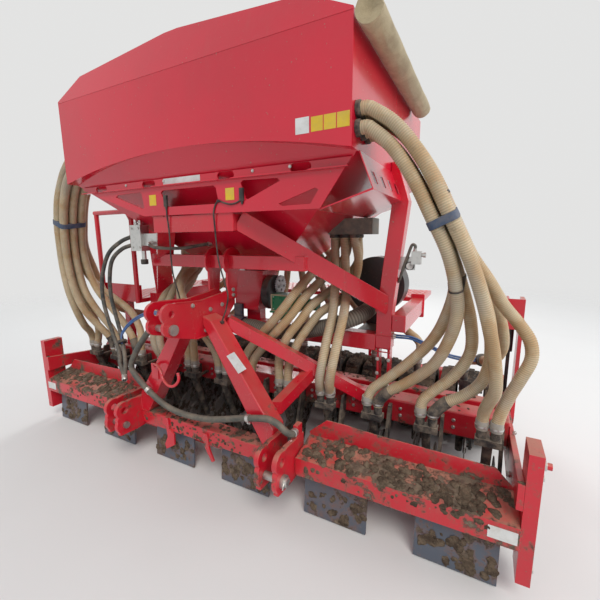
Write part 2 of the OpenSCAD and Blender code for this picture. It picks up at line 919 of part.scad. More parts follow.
// Struts that set the packer's depth: each hangs from its pin in the cage and stands on the side arm
module depth_adjusters() {
    y = packer_y + 20;
    z = hanger_top - 40;
    x = arm_x + arm_t / 2;
    thread_d = 20;
    foot_z = 343;
    color(black) placed() both_sides() difference() {
        union() {
            x_cylinder(hanger_in + hanger_wall + seat, y, z, hanger_x - hanger_in - hanger_wall - 2 * seat, 28);
            rod([x, y, z], [x, y, 600], 40);
            rod([x, y, 610], [x, y, foot_z - 20], thread_d);
            translate([arm_x, y - 16, foot_z - 20]) cube([arm_t, 32, 34]);
        }
        side_arm_solid();
    }
}

module rear_tube() {
    color(red) placed() cross_bar(arm_x, rear_tube_y + rear_tube_w / 2, rear_tube_z, rear_tube_w, rear_tube_w);
}

// A blade between each two packer rings, on the rear tube's face
module scrapers() {
    blade_w = 18;
    blade_t = 12;
    color(steel) placed() for (i = [0:ring_rows - 2])
        translate([ring_x(i) + row_pitch / 2 - blade_w / 2, packer_y + 95, rear_tube_z - 20])
            cube([blade_w, rear_tube_y - packer_y - 95, blade_t]);
}

// WALKWAY

module walkway_posts() {
    w = 70;
    foot_z = rear_tube_z + rear_tube_w / 2;
    color(red) placed() for (x = [40 - arm_x, -400, 500])
        translate([x, rear_tube_y + 5, foot_z]) cube([w, w, tread_z - tread_skin - foot_z]);
}

module rear_walkway() {
    right_x = post_x + post_w / 2 + 30;
    color(red) placed() difference() {
        translate([-arm_x, walkway_y, tread_z - tread_t]) cube([arm_x + right_x, rear_y - walkway_y, tread_t]);
        translate([12 - arm_x, walkway_y + 12, tread_z - tread_t - 1])
            cube([arm_x + right_x - 24, rear_y - walkway_y - 24, tread_t + 1 - tread_skin]);
    }
}

step_front = 447;
step_x = -arm_x + 42;
step_w = arm_x - 42 - post_x - post_w / 2 - 90;

// The platform on the left, its front kick plate and the post under it
module side_step() {
    kick_top = 950;
    wall = 12;
    color(red) placed() {
        difference() {
            translate([step_x, step_front, tread_z - tread_t]) cube([step_w, walkway_y - step_front, tread_t]);
            translate([step_x + wall, step_front + wall, tread_z - tread_t - 1])
                cube([step_w - 2 * wall, walkway_y - step_front - 2 * wall, tread_t + 1 - tread_skin]);
        }
        translate([step_x, step_front, tread_z - tread_t]) cube([step_w, 8, kick_top - tread_z + tread_t]);
        translate([step_x + step_w / 2 - 25, main_tube_y - 30, main_top])
            cube([50, 50, tread_z - tread_skin + 1 - main_top]);
    }
}

// A hoop over the platform's front edge, and a second post behind it
module handrail() {
    d = 34;
    y = step_front - d / 2 - seat;
    top = 1480;
    left = step_x + d / 2;
    bend_x = step_x + step_w - 50;
    right = step_x + step_w - d / 2;
    color(red) placed() {
        rod([left, y, tread_z - tread_t], [left, y, top], d);
        rod([left - d / 2, y, top], [bend_x, y, top], d);
        rod([bend_x - 6, y, top], [right, y, top - 60], d);
        rod([right, y, top - 50], [right, y, tread_z - tread_t], d);
    }
}

// METERING AND AIR

meter_y = 470;
meter_z = 850;
meter_h = 240;

// The metering unit's casing under the funnel, on a foot on the lower cross tube
module metering_box() {
    half = 105;
    foot_h = meter_z - lower_tube_z - frame_tube_w / 2;
    color(red) placed() {
        front_plate(meter_y, 170, [
            [-half, meter_z], [half - 40, meter_z], [half, meter_z + meter_h - 40], [half, meter_z + meter_h],
            [-half, meter_z + meter_h]
        ]);
        translate([0, meter_y + 90, meter_z + meter_h - 1])
            cylinder(h = funnel_z - meter_z - meter_h + 1, d = 150, $fn = 48);
        translate([-50, knee_y - 30, lower_tube_z + frame_tube_w / 2]) cube([100, 60, foot_h + 1]);
    }
}

module drive_cover() {
    color(black) placed() difference() {
        x_cylinder(105, meter_y + 80, meter_z + 105, 40, 210);
        metering_solid();
    }
}
module metering_solid() {
    translate([-120, meter_y - 1, meter_z - 1]) cube([225, 172, meter_h + 2]);
}

// The toothed wheel on the metering shaft
module drive_wheel() {
    teeth = 24;
    r = 58;
    shaft = 22;
    color("white") placed() translate([145, meter_y + 110, meter_z + 150]) rotate([0, 90, 0]) {
        cylinder(h = 26, d = shaft, $fn = 32);
        translate([0, 0, 12]) linear_extrude(12) difference() {
            union() {
                circle(r = r - 6, $fn = 72);
                for (k = [0:teeth - 1])
                    rotate(360 * k / teeth) polygon([[r - 9, -4], [r, -2.5], [r, 2.5], [r - 9, 4]]);
            }
            for (k = [0:4]) rotate(72 * k) translate([32, 0]) circle(d = 18, $fn = 32);
        }
    }
}

// The green control box in its frame, with the drive motor beside it
module control_box() {
    x = 180;
    w = 140;
    y = meter_y - 30;
    z = 862;
    motor_z = 910;
    color("green") placed() {
        translate([x, y, z]) cube([w, 90, 100]);
        translate([x - 6, y - 8, z - 10]) cube([w + 14, 104, 11]);
        translate([x + w - 1, y - 8, z - 10]) cube([9, 104, 118]);
        x_cylinder(x + w + 7, y + 50, motor_z, 70, 84);
        x_cylinder(x + w + 76, y + 50, motor_z, 66, 66);
        translate([x + 20, y + 68, lower_tube_z + frame_tube_w / 2])
            cube([40, 20, z - lower_tube_z - frame_tube_w / 2 + 1]);
    }
}

// The duct from the fan round to the metering unit, with its blue connector
air_route = [
    [-20, 440, 752], [50, 440, 752], [160, 440, 738], [300, 440, 748], [430, 440, 775],
    [540, 440, 806], [620, 450, 835], [680, 490, 860], [715, 560, 880], [725, 640, 900], [725, 700, 900]
];
module air_duct() {
    color(grey) placed() hose(air_route, duct_d, 2, 10);
}

duct_end_x = -20;
module duct_connector() {
    color(board_blue) placed() {
        x_cylinder(duct_end_x - 90, 440, 752, 90 - seat, duct_d + 16);
        translate([duct_end_x - 82, 450, 752]) cube([60, meter_y - 450 - seat, 130]);
    }
}

// The fan's scroll behind the right post, on the cross tube's bracket
fan_x = 725;
fan_y = 700;
fan_z = 900;
fan_d = 330;
module fan_housing() {
    color(black) placed() {
        translate([fan_x, fan_y + 2, fan_z + 110]) rotate([-90, 0, 0]) cylinder(h = 130, d = fan_d, $fn = 72);
        translate([fan_x - 60, fan_y + seat, fan_z - 60]) cube([120, 100, 120]);
        translate([fan_x, fan_y + 131, fan_z + 110]) rotate([-90, 0, 0]) cylinder(h = 40, d = 170, $fn = 64);
        translate([fan_x - 60, knee_y + post_w / 2, lower_tube_z + 25]) cube([120, fan_y - knee_y + 60, 20]);
        translate([fan_x - 60, fan_y + 40, lower_tube_z + 30]) cube([120, 30, fan_z - lower_tube_z - 60]);
    }
}

// HOSES

// The valve block on the left diagonal, with its bracket and knob
valve_x = -600;
valve_y = 130;
valve_z = 1215;
module valve_block() {
    w = 90;
    d = 60;
    h = 150;
    color("white") placed() difference() {
        union() {
            translate([valve_x, valve_y, valve_z]) cube([w, d, h]);
            translate([valve_x + w - 1, valve_y + 20, valve_z + 30]) cube([120, 16, 70]);
            translate([valve_x + w - 20, valve_y + d / 2, valve_z - 50]) cylinder(h = 51, d = 26, $fn = 32);
        }
        diagonal_solids();
    }
}

// The necks of the coulter boots, where the seed hoses end
function neck(x, side) = [x - side_of(x) * boot_side + side * neck_gap, front_boot_y, neck_top + seat];
function rear_neck(x) = [x - side_of(x) * boot_side, rear_boot_y, rear_neck_top + seat];
function into(end, lift = 22) = [end + [0, 0, lift], end];
function moved(points, back) = [for (p = points) p + [0, back, 0]];
wall_x = half_hopper + seat;

// Upper and lower leads of the bundle on the right, from the hopper's wall past the strap
right_upper = [
    [wall_x, -10, 1722], [882, -10, 1722], [975, 0, 1655], [1070, 10, 1530], [1155, 25, 1360], [1215, 50, 1235]
];
right_lower = [
    [wall_x, -10, 1660], [882, -10, 1660], [962, 0, 1590], [1036, 15, 1480], [1101, 30, 1350], [1158, 60, 1225]
];
hose_gap = hose_d + 4;

module seed_hoses_right() {
    color(tan_hose) placed() {
        hose(concat(right_upper, [
            [1262, 90, 1110], [1302, 130, 970], [1332, 180, 830], [1348, 225, 690], [1330, 262, 615], [1317, 290, 558]
        ], into(neck(1375, -1))));
        hose(concat(right_lower, [
            [1188, 100, 1100], [1195, 150, 985], [1165, 200, 860], [1110, 240, 745], [1010, 275, 640], [915, 293, 565]
        ], into(neck(875, 1))));
        hose(concat(moved(right_lower, hose_gap), [
            [1182, 156, 1100], [1150, 230, 960], [1095, 275, 840], [1000, 295, 720], [900, 302, 620], [838, 302, 560]
        ], into(neck(875, -1))));
        hose(concat(moved(right_lower, 2 * hose_gap), [
            [1200, 215, 1100], [1240, 262, 950], [1248, 290, 810], [1190, 302, 690], [1108, 303, 600], [1070, 302, 550]
        ], into(neck(1125, -1))));
        hose(concat(moved(right_upper, hose_gap), [
            [1262, 145, 1110], [1306, 200, 960], [1322, 262, 810], [1300, 292, 690], [1240, 300, 615], [1165, 301, 560]
        ], into(neck(1125, 1))));
        hose(concat(moved(right_upper, 2 * hose_gap), [
            [1290, 212, 1120], [1350, 270, 1020], [1410, 298, 945], [1452, 300, 880], [1462, 300, 810],
            [1438, 300, 735], [1405, 300, 650], [1380, 300, 570]
        ], into(neck(1375, 1))));
        hose(concat(moved(right_upper, 3.1 * hose_gap), [
            [1278, 328, 1100], [1345, 400, 950], [1372, 470, 810], [1345, 580, 700], [1270, 710, 645], [1225, 780, 612]
        ], into(rear_neck(1250))));
    }
}

// The same leads on the left
left_upper = [
    [-wall_x, -10, 1722], [-882, -10, 1722], [-975, 0, 1655], [-1072, 10, 1530], [-1148, 30, 1380], [-1200, 55, 1240]
];
left_lower = [
    [-wall_x, -10, 1660], [-882, -10, 1660], [-962, 0, 1590], [-1036, 15, 1480], [-1096, 35, 1360], [-1146, 58, 1230]
];

module seed_hoses_left() {
    color(tan_hose) placed() {
        hose(concat(left_upper, [
            [-1232, 75, 1100], [-1248, 100, 940], [-1265, 145, 790], [-1300, 205, 670], [-1345, 268, 600],
            [-1365, 294, 552]
        ], into(neck(-1375, -1))));
        hose(concat(left_lower, [
            [-1176, 80, 1095], [-1185, 105, 945], [-1178, 150, 800], [-1150, 225, 670], [-1124, 285, 570]
        ], into(neck(-1125, -1))));
        hose(concat(moved(left_lower, hose_gap), [
            [-1172, 135, 1090], [-1170, 165, 930], [-1140, 215, 790], [-1100, 270, 670], [-1068, 298, 570]
        ], into(neck(-1125, 1))));
        hose(concat(moved(left_lower, 2 * hose_gap), [
            [-1160, 195, 1085], [-1128, 225, 940], [-1065, 272, 810], [-980, 302, 690], [-895, 303, 585]
        ], into(neck(-875, -1))));
        hose(concat(moved(left_upper, hose_gap), [
            [-1230, 132, 1090], [-1240, 170, 930], [-1240, 220, 780], [-1250, 275, 660], [-1290, 300, 575]
        ], into(neck(-1375, 1))));
        hose(concat(moved(left_upper, 2 * hose_gap), [
            [-1215, 205, 1080], [-1190, 275, 950], [-1110, 335, 860], [-960, 350, 770], [-860, 335, 660],
            [-822, 308, 570]
        ], into(neck(-875, 1))));
        hose(concat(moved(left_upper, 3 * hose_gap), [
            [-1230, 280, 1080], [-1245, 340, 920], [-1240, 400, 800], [-1230, 500, 730], [-1220, 640, 680],
            [-1216, 765, 630]
        ], into(rear_neck(-1250))));
    }
}

// Six hoses a side from the side boxes down to the inner coulters
module seed_hoses_centre() {
    front_y = side_box_y + 30;
    back_y = side_box_y + 95;
    top_z = side_box_z - seat;
    color(tan_hose) placed() both_sides() {
        hose(concat([[518, front_y, top_z], [518, front_y, 1270]], [
            [540, 548, 1150], [572, 465, 1020], [592, 390, 900], [592, 305, 760], [582, 268, 640], [570, 272, 560]
        ], into(neck(625, -1))));
        hose(concat([[576, front_y, top_z], [576, front_y, 1270]], [
            [592, 565, 1150], [620, 510, 1000], [652, 390, 900], [650, 305, 760], [638, 266, 640], [624, 272, 560]
        ], into(neck(625, 1))));
        hose(concat([[634, front_y, top_z], [634, front_y, 1270]], [
            [655, 600, 1150], [624, 596, 1015], [576, 510, 938], [515, 408, 890], [462, 366, 812], [408, 340, 720],
            [374, 318, 620], [368, 303, 560]
        ], into(neck(375, 1))));
        hose(concat([[634, back_y, top_z], [634, back_y, 1270]], [
            [630, 668, 1150], [570, 612, 1050], [508, 488, 976], [471, 380, 926], [427, 330, 848], [362, 306, 755],
            [320, 300, 655], [313, 297, 570]
        ], into(neck(375, -1))));
        hose(concat([[576, back_y, top_z], [576, back_y, 1270]], [
            [552, 660, 1170], [486, 560, 1078], [448, 358, 979], [394, 302, 886], [320, 290, 800], [225, 300, 700],
            [145, 304, 600]
        ], into(neck(125, 1))));
        hose(concat([[518, back_y, top_z], [518, back_y, 1270]], [
            [470, 640, 1170], [440, 480, 1100], [416, 328, 1014], [361, 278, 924], [280, 275, 830], [180, 290, 725],
            [92, 304, 620]
        ], into(neck(125, -1))));
    }
}

// Each rear hose drops from the rear box and fans out to its coulter
module seed_hoses_rear() {
    y = rear_box_y + 165;
    color(tan_hose) placed() for (i = [1:rear_rows - 2]) {
        end = rear_neck(row_x(i, rear_rows));
        top_x = (i - (rear_rows - 1) / 2) * (hose_d + 16);
        hose(concat([
            [top_x, y, rear_box_z - seat], [top_x, y, 1240], [top_x + (end.x - top_x) * 0.35, y, 1000],
            [top_x + (end.x - top_x) * 0.82, 880, 750], [end.x, 820, 670]
        ], into(end)));
    }
}

hydraulic_d = 24;
hydraulic_routes = [
    [[valve_x - seat, 160, 1300], [-620, 160, 1300], [-690, 130, 1270], [-780, 105, 1200], [-850, 100, 1080], [-878, 100, 950],
        [-862, 100, 830], [-810, 100, 680], [-740, 80, 590], [-680, 40, 520], [-560, -20, 470]],
    [[valve_x - seat, 160, 1250], [-620, 160, 1250], [-680, 125, 1225], [-745, 100, 1160], [-780, 95, 1050], [-785, 95, 930],
        [-760, 95, 820], [-720, 90, 700], [-660, 60, 610], [-600, 20, 540], [-520, -50, 480]]
];

module hydraulic_hoses() {
    color(black) placed() for (route = hydraulic_routes) hose(route, hydraulic_d);
}

// A thick conduit from the left top link plate down round the left leg and across to the right hitch plate's ear
conduit_d = 32;
ear_x = hitch_span / 2 + hitch_gap / 2 + hitch_plate_t / 2;
ear_z = beam_top + 85;
ear_y = 30;
ear_h = 56;
conduit_route = [
    [-plate_outer - seat, -60, 840], [-90, -60, 840], [-165, -61, 838], [-232, -60, 824], [-290, -55, 786],
    [-395, -45, 679], [-462, -40, 578], [-437, -35, 515], [-359, -30, 452], [-283, -25, 402], [-213, -22, 374],
    [-123, -22, 360], [-15, -22, 361], [89, -22, 374], [188, -22, 399], [282, -22, 427], [370, -22, 449],
    [445, -24, 464], [500, -28, 455], [540, -22, 424], [ear_x, 2, ear_z + ear_h / 2],
    [ear_x, ear_y - seat, ear_z + ear_h / 2]
];
module front_conduit() {
    color(black) placed() hose(conduit_route, conduit_d);
}

front_beam();
end_plates();
wing_guards();
hitch_brackets();
hitch_pins();
headstock_legs();
top_link_plates();
top_link_pin();
head_straps();
cross_tube();
back_stays();
main_tube();
side_arms();
top_beam();
diagonals();
hopper_posts();
lower_cross_tube();
rear_arms();
hopper();
hopper_skirt();
side_tray();
outlet_boxes();
cover_roll();
board_carrier();
levelling_boards();
rear_coulter_beam();
front_coulters();
rear_coulters();
front_discs();
rear_discs();
packer_rings();
packer_hangers();
depth_adjusters();
rear_tube();
scrapers();
walkway_posts();
rear_walkway();
side_step();
handrail();
metering_box();
drive_cover();
drive_wheel();
control_box();
air_duct();
duct_connector();
fan_housing();
valve_block();
seed_hoses_right();
seed_hoses_left();
seed_hoses_centre();
seed_hoses_rear();
hydraulic_hoses();
front_conduit();
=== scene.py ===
# %% [markdown]
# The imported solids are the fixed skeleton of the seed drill. Everything here is dressed around them:
# camera, light, finishes, ribbed hoses, bolts, plates, caked soil and the rolled cover.

# %% Load the solids
import math
import random
import bpy
import bmesh
from mathutils import Vector, Matrix, noise


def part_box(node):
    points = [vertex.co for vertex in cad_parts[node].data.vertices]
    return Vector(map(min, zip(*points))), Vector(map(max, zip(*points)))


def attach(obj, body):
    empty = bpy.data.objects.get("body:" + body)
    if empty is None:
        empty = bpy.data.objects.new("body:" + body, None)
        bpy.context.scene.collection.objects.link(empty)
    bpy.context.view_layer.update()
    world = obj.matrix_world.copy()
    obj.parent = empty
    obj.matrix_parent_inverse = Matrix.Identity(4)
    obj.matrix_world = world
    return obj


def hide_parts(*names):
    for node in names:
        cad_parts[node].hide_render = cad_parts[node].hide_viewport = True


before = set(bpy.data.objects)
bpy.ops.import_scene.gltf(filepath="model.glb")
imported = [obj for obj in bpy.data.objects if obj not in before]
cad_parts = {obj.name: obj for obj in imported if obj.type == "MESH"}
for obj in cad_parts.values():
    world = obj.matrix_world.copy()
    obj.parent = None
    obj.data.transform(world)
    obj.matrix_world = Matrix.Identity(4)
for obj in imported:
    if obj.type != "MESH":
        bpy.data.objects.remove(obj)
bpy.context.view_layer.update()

# %% [markdown]
# Places are given in millimetres, in the order right, back, up, counted from the front beam's face, as one
# would measure them on the machine. One small function turns a place into the metres of the frame, whose
# origin is the middle of the machine. That is safer than shifting numbers by hand in every table.

# %% Places and directions
BACK_SHIFT = 757.5
FRONT, UP = Vector((0, -1, 0)), Vector((0, 0, 1))
RIGHT, LEFT = Vector((1, 0, 0)), Vector((-1, 0, 0))


def at(x, y, z):
    """A place on the machine, in metres of the frame."""
    return Vector((x, y - BACK_SHIFT, z)) / 1000


print("front beam's face lies at y =", at(0, 0, 0).y)

# %% [markdown]
# The camera stands at the right front corner, at chest height, and looks slightly down.
# Its place and turn were solved from the beam, the plates and the hopper's edges, so a wide lens is used:
# that is what makes the near end plate so large and the far hoses so small.

# %% Camera
FOCAL_LENGTH, SENSOR_WIDTH = 21.0, 36.0
EYE = (1.274, -1.27 - BACK_SHIFT / 1000, 1.279)
TURN, DIP, ROLL = math.radians(27.81), math.radians(9.934), math.radians(-0.444)

lens = bpy.data.cameras.new("lens")
lens.lens = FOCAL_LENGTH
lens.sensor_width = SENSOR_WIDTH
lens.clip_end = 200
camera = bpy.data.objects.new("camera", lens)
bpy.context.collection.objects.link(camera)
ahead = Vector((-math.sin(TURN) * math.cos(DIP), math.cos(TURN) * math.cos(DIP), -math.sin(DIP)))
level = Vector((math.cos(TURN), math.sin(TURN), 0))
upward = level.cross(ahead)
right = math.cos(ROLL) * level + math.sin(ROLL) * upward
up = -math.sin(ROLL) * level + math.cos(ROLL) * upward
rows = [(right[i], up[i], -ahead[i], EYE[i]) for i in range(3)]
camera.matrix_world = Matrix((*rows, (0, 0, 0, 1)))
bpy.context.scene.camera = camera
print("camera at", tuple(round(v, 3) for v in camera.location))

# %% [markdown]
# A wide pale floor and an even sky stand in for a studio. The sky that is seen, straight or in a reflection,
# has the floor's own pale tone, while a bluer and weaker sky gives the light. The lamps stay large and soft,
# so that the red paint keeps its colour and still shows long highlights.

# %% Floor, sky and lamps
FLOOR_REACH = 60
LAMP_GLINT = 0.35

scene = bpy.context.scene
scene.view_settings.view_transform = "Standard"
floor_mesh = bpy.data.meshes.new("floor")
floor_corners = [(x * FLOOR_REACH, y * FLOOR_REACH, 0) for x, y in ((-1, -1), (1, -1), (1, 1), (-1, 1))]
floor_mesh.from_pydata(floor_corners, [], [(0, 1, 2, 3)])
floor = bpy.data.objects.new("floor", floor_mesh)
bpy.context.collection.objects.link(floor)
floor.location.z = -0.001

world = bpy.data.worlds.new("sky")
scene.world = world
world.use_nodes = True
sky = world.node_tree
sky.nodes.clear()


def sky_shader(colour, strength):
    node = sky.nodes.new("ShaderNodeBackground")
    node.inputs["Color"].default_value = (*colour, 1)
    node.inputs["Strength"].default_value = strength
    return node.outputs[0]


rays = sky.nodes.new("ShaderNodeLightPath")
seen = rays.outputs["Is Camera Ray"]
for ray in ("Is Glossy Ray", "Is Transmission Ray"):
    either = sky.nodes.new("ShaderNodeMath")
    either.operation = "MAXIMUM"
    sky.links.new(seen, either.inputs[0])
    sky.links.new(rays.outputs[ray], either.inputs[1])
    seen = either.outputs[0]
pick = sky.nodes.new("ShaderNodeMixShader")
sky_out = sky.nodes.new("ShaderNodeOutputWorld")
sky.links.new(seen, pick.inputs[0])
sky.links.new(sky_shader((0.86, 0.92, 1.0), 0.6), pick.inputs[1])
sky.links.new(sky_shader((0.77, 0.77, 0.765), 1.0), pick.inputs[2])
sky.links.new(pick.outputs[0], sky_out.inputs[0])


def lamp(name, place, aim, width, power):
    data = bpy.data.lights.new(name, "AREA")
    data.shape = "DISK"
    data.size = width
    data.energy = power
    data.specular_factor = LAMP_GLINT
    ob = bpy.data.objects.new(name, data)
    bpy.context.collection.objects.link(ob)
    ob.location = place
    ob.rotation_euler = (Vector(aim) - Vector(place)).to_track_quat("-Z", "Y").to_euler()


sun_data = bpy.data.lights.new("soft_sun", "SUN")
sun_data.energy = 1.75
sun_data.angle = math.radians(30)
sun_data.color = (1, 0.965, 0.92)
sun = bpy.data.objects.new("soft_sun", sun_data)
bpy.context.collection.objects.link(sun)
sun.rotation_euler = Vector((-0.42, 0.52, -0.75)).to_track_quat("-Z", "Y").to_euler()
lamp("side_lamp", (5.5, 0.5, 3.2), (0, 0, 0.9), 3.0, 90)
lamp("rear_lamp", (-2.5, 5.5, 4.0), (0, 0.3, 0.8), 3.0, 150)

# %% [markdown]
# Finishes are small node graphs. Each starts as a base colour and lets layers cover it where they would lie
# on the real machine: dust where a face looks up, splashed soil near the ground, dark stains in patches.
# A few helpers keep each finish readable as a short recipe, which a wall of single nodes would not be.

# %% Helpers for finishes
MIX_A, MIX_B, MIX_RESULT = 6, 7, 2


class Finish:
    """A material with its node tree and the usual shader, for short recipes."""

    def __init__(self, name, colour, rough, metal=0.0, coat=0.0, specular=0.5):
        self.mat = bpy.data.materials.new(name)
        self.mat.use_nodes = True
        self.tree = self.mat.node_tree
        self.bsdf = self.tree.nodes["Principled BSDF"]
        for key, value in (("Metallic", metal), ("Coat Weight", coat), ("Coat Roughness", 0.12),
                           ("Specular IOR Level", specular)):
            self.bsdf.inputs[key].default_value = value
        self.place = self.add("ShaderNodeTexCoord").outputs["Object"]
        self.geo = self.add("ShaderNodeNewGeometry")
        self.base = self.colour = colour
        self.rough = rough
        self.height = None

    def add(self, kind, **settings):
        node = self.tree.nodes.new(kind)
        for key, value in settings.items():
            setattr(node, key, value)
        return node

    def feed(self, node, key, value):
        """Links a socket, or sets a number or a colour on the input itself."""
        if hasattr(value, "is_output"):
            self.tree.links.new(value, node.inputs[key])
        elif isinstance(value, tuple):
            node.inputs[key].default_value = (*value, 1)
        else:
            node.inputs[key].default_value = value

    def math(self, what, a, b, clamp=False):
        node = self.add("ShaderNodeMath", operation=what, use_clamp=clamp)
        self.feed(node, 0, a)
        self.feed(node, 1, b)
        return node.outputs[0]

    def times(self, a, b, clamp=False):
        return self.math("MULTIPLY", a, b, clamp)

    def plus(self, a, b):
        return self.math("ADD", a, b)

    def cloud(self, scale, detail=4.0, rough=0.6, stretch=(1, 1, 1)):
        """Noise in the piece's own space, of the given fineness."""
        where = self.add("ShaderNodeMapping")
        self.tree.links.new(self.place, where.inputs["Vector"])
        where.inputs["Scale"].default_value = stretch
        node = self.add("ShaderNodeTexNoise")
        self.tree.links.new(where.outputs[0], node.inputs["Vector"])
        for key, value in (("Scale", scale), ("Detail", detail), ("Roughness", rough)):
            node.inputs[key].default_value = value
        return node.outputs["Fac"]

    def step(self, value, low, high, to_low=0.0, to_high=1.0):
        """A soft step from to_low to to_high while value goes from low to high."""
        node = self.add("ShaderNodeMapRange", clamp=True, interpolation_type="SMOOTHSTEP")
        self.feed(node, "Value", value)
        for key, number in (("From Min", low), ("From Max", high), ("To Min", to_low), ("To Max", to_high)):
            node.inputs[key].default_value = number
        return node.outputs["Result"]

    def up_part(self, what):
        node = self.add("ShaderNodeSeparateXYZ")
        self.tree.links.new(self.geo.outputs[what], node.inputs[0])
        return node.outputs["Z"]

    def facing_up(self):
        return self.up_part("Normal")

    def altitude(self):
        return self.up_part("Position")

    def groove(self):
        return self.add("ShaderNodeAttribute", attribute_name="groove").outputs["Fac"]

    def blend(self, a, b, amount):
        node = self.add("ShaderNodeMix", data_type="RGBA")
        for key, value in (("Factor", amount), (MIX_A, a), (MIX_B, b)):
            self.feed(node, key, value)
        return node.outputs[MIX_RESULT]

    def layer(self, mask, colour, rough=None):
        """Covers what is there with a colour, and a roughness, where the mask is bright."""
        self.colour = self.blend(self.colour, colour, mask)
        if rough is not None:
            node = self.add("ShaderNodeMix", data_type="FLOAT")
            for key, value in (("Factor", mask), ("A", self.rough), ("B", rough)):
                self.feed(node, key, value)
            self.rough = node.outputs["Result"]

    def patches(self, cloud, low, high, colour, rough=None, most=1.0):
        """Lets a colour show in patches of a noise, given as fineness, detail and roughness."""
        self.layer(self.step(self.cloud(*cloud), low, high, 0, most), colour, rough)

    def shade(self, mask, factor, lift=0.0):
        """Lets a darker or lighter tone of the base colour show where the mask is bright."""
        self.layer(mask, tuple(min(1, c * factor + lift) for c in self.base))

    def bump(self, mask, height):
        relief = self.times(mask, height)
        self.height = relief if self.height is None else self.plus(self.height, relief)

    def done(self, strength=1.0):
        self.feed(self.bsdf, "Base Color", self.colour)
        self.feed(self.bsdf, "Roughness", self.rough)
        if self.height is not None:
            node = self.add("ShaderNodeBump")
            node.inputs["Strength"].default_value = strength
            node.inputs["Distance"].default_value = 1.0
            self.tree.links.new(self.height, node.inputs["Height"])
            self.tree.links.new(node.outputs[0], self.bsdf.inputs["Normal"])
        return self.mat


print("finish helpers ready")

# %% [markdown]
# Farm paint is a thick glossy coat. It fades in broad patches, carries a film of pale dust on every face that
# looks up, and near the ground it is splashed and caked with soil. One recipe with two numbers, how much dust
# and how much soil, gives the clean hopper, the dusty frame and the filthy wings the same family look.

# %% Painted steel
SOIL_DARK, SOIL_PALE, SOIL_STAIN = (0.075, 0.052, 0.037), (0.21, 0.155, 0.105), (0.2, 0.1, 0.065)
DUST_FILM, DUST_HAZE, DUST_STREAK = (0.34, 0.2, 0.13), (0.3, 0.14, 0.1), (0.25, 0.13, 0.09)


def painted(name, colour, dust, soil, rough=0.24, coat=0.55):
    f = Finish(name, colour, rough, coat=coat)
    f.shade(f.step(f.cloud(1.6, 3), 0.35, 0.75, 0, 0.5), 0.7)
    f.shade(f.step(f.cloud(38, 6, 0.7), 0.5, 0.8, 0, 0.14), 1.1, 0.02)
    f.bump(f.cloud(9, 2), 0.0006)
    up = f.step(f.facing_up(), 0.25, 0.95)
    film = f.times(up, f.step(f.cloud(5.5, 7, 0.7), 0.3, 0.62), True)
    f.layer(f.times(film, dust), DUST_FILM, 0.75)
    f.patches((3.2, 8, 0.75), 0.42, 0.72, DUST_HAZE, 0.55, 0.3 * dust)
    f.layer(f.step(f.cloud(16, 5, 0.65, (1, 1, 0.1)), 0.56, 0.78, 0, 0.35 * dust), DUST_STREAK, 0.6)
    low = f.step(f.altitude(), 0.95, 0.12)
    ragged = f.plus(f.cloud(8, 9, 0.74), f.times(low, 0.1))
    ragged = f.plus(ragged, f.times(up, 0.055 * soil))
    edge = 0.75 - 0.1 * soil
    cake = f.step(ragged, edge, edge + 0.03)
    mud = f.blend(SOIL_DARK, SOIL_PALE, f.step(f.cloud(26, 6, 0.7), 0.3, 0.7))
    f.layer(f.step(ragged, edge - 0.07, edge, 0, 0.55), SOIL_STAIN, 0.8)
    f.layer(cake, mud, 0.93)
    f.bump(f.times(cake, f.plus(f.cloud(160, 5, 0.8), 0.6)), 0.0035)
    speck = 0.74 - 0.06 * soil
    f.patches((85, 2, 0.5), speck, speck + 0.025, SOIL_PALE, 0.9, 0.8)
    return f.done(0.9)


hopper_red = painted("hopper_red", (0.63, 0.006, 0.03), 0.18, 0.08, 0.22, 0.5)
frame_red = painted("frame_red", (0.62, 0.008, 0.026), 0.45, 0.33)
low_red = painted("low_red", (0.6, 0.01, 0.026), 0.7, 0.68, 0.3, 0.35)
wing_red = painted("wing_red", (0.6, 0.012, 0.026), 0.85, 1.03, 0.34, 0.3)
board_blue = painted("board_blue", (0.085, 0.1, 0.13), 0.6, 0.9, 0.42, 0.1)
black_paint = painted("black_paint", (0.022, 0.022, 0.025), 0.55, 0.5, 0.4, 0.1)
paints = (hopper_red, frame_red, low_red, wing_red, board_blue, black_paint)
print("painted finishes:", [paint.name for paint in paints])

# %% [markdown]
# Bare metal is told apart by wear: bolts and pins are plated and only dusty, discs are scoured in rings by
# the soil, and the cast rings of the packer are so caked that little iron shows. Stretching a noise along the
# turning direction gives the scouring marks without any picture.

# %% Bare metal and cast rings
RUST = (0.2, 0.09, 0.045)


def plated(name, colour, rough, dust):
    f = Finish(name, colour, rough, metal=0.9)
    f.shade(f.step(f.cloud(60, 5, 0.7), 0.45, 0.75, 0, 0.6), 0.6)
    f.bump(f.cloud(220, 3, 0.6), 0.0006)
    f.patches((45, 6, 0.7), 0.6, 0.7, RUST, 0.85, 0.5 * dust)
    f.layer(f.times(f.step(f.facing_up(), 0.2, 0.9), dust), (0.33, 0.26, 0.19), 0.85)
    return f.done()


zinc = plated("zinc_plate", (0.62, 0.62, 0.6), 0.32, 0.35)
pin_steel = plated("pin_steel", (0.5, 0.49, 0.47), 0.36, 0.5)

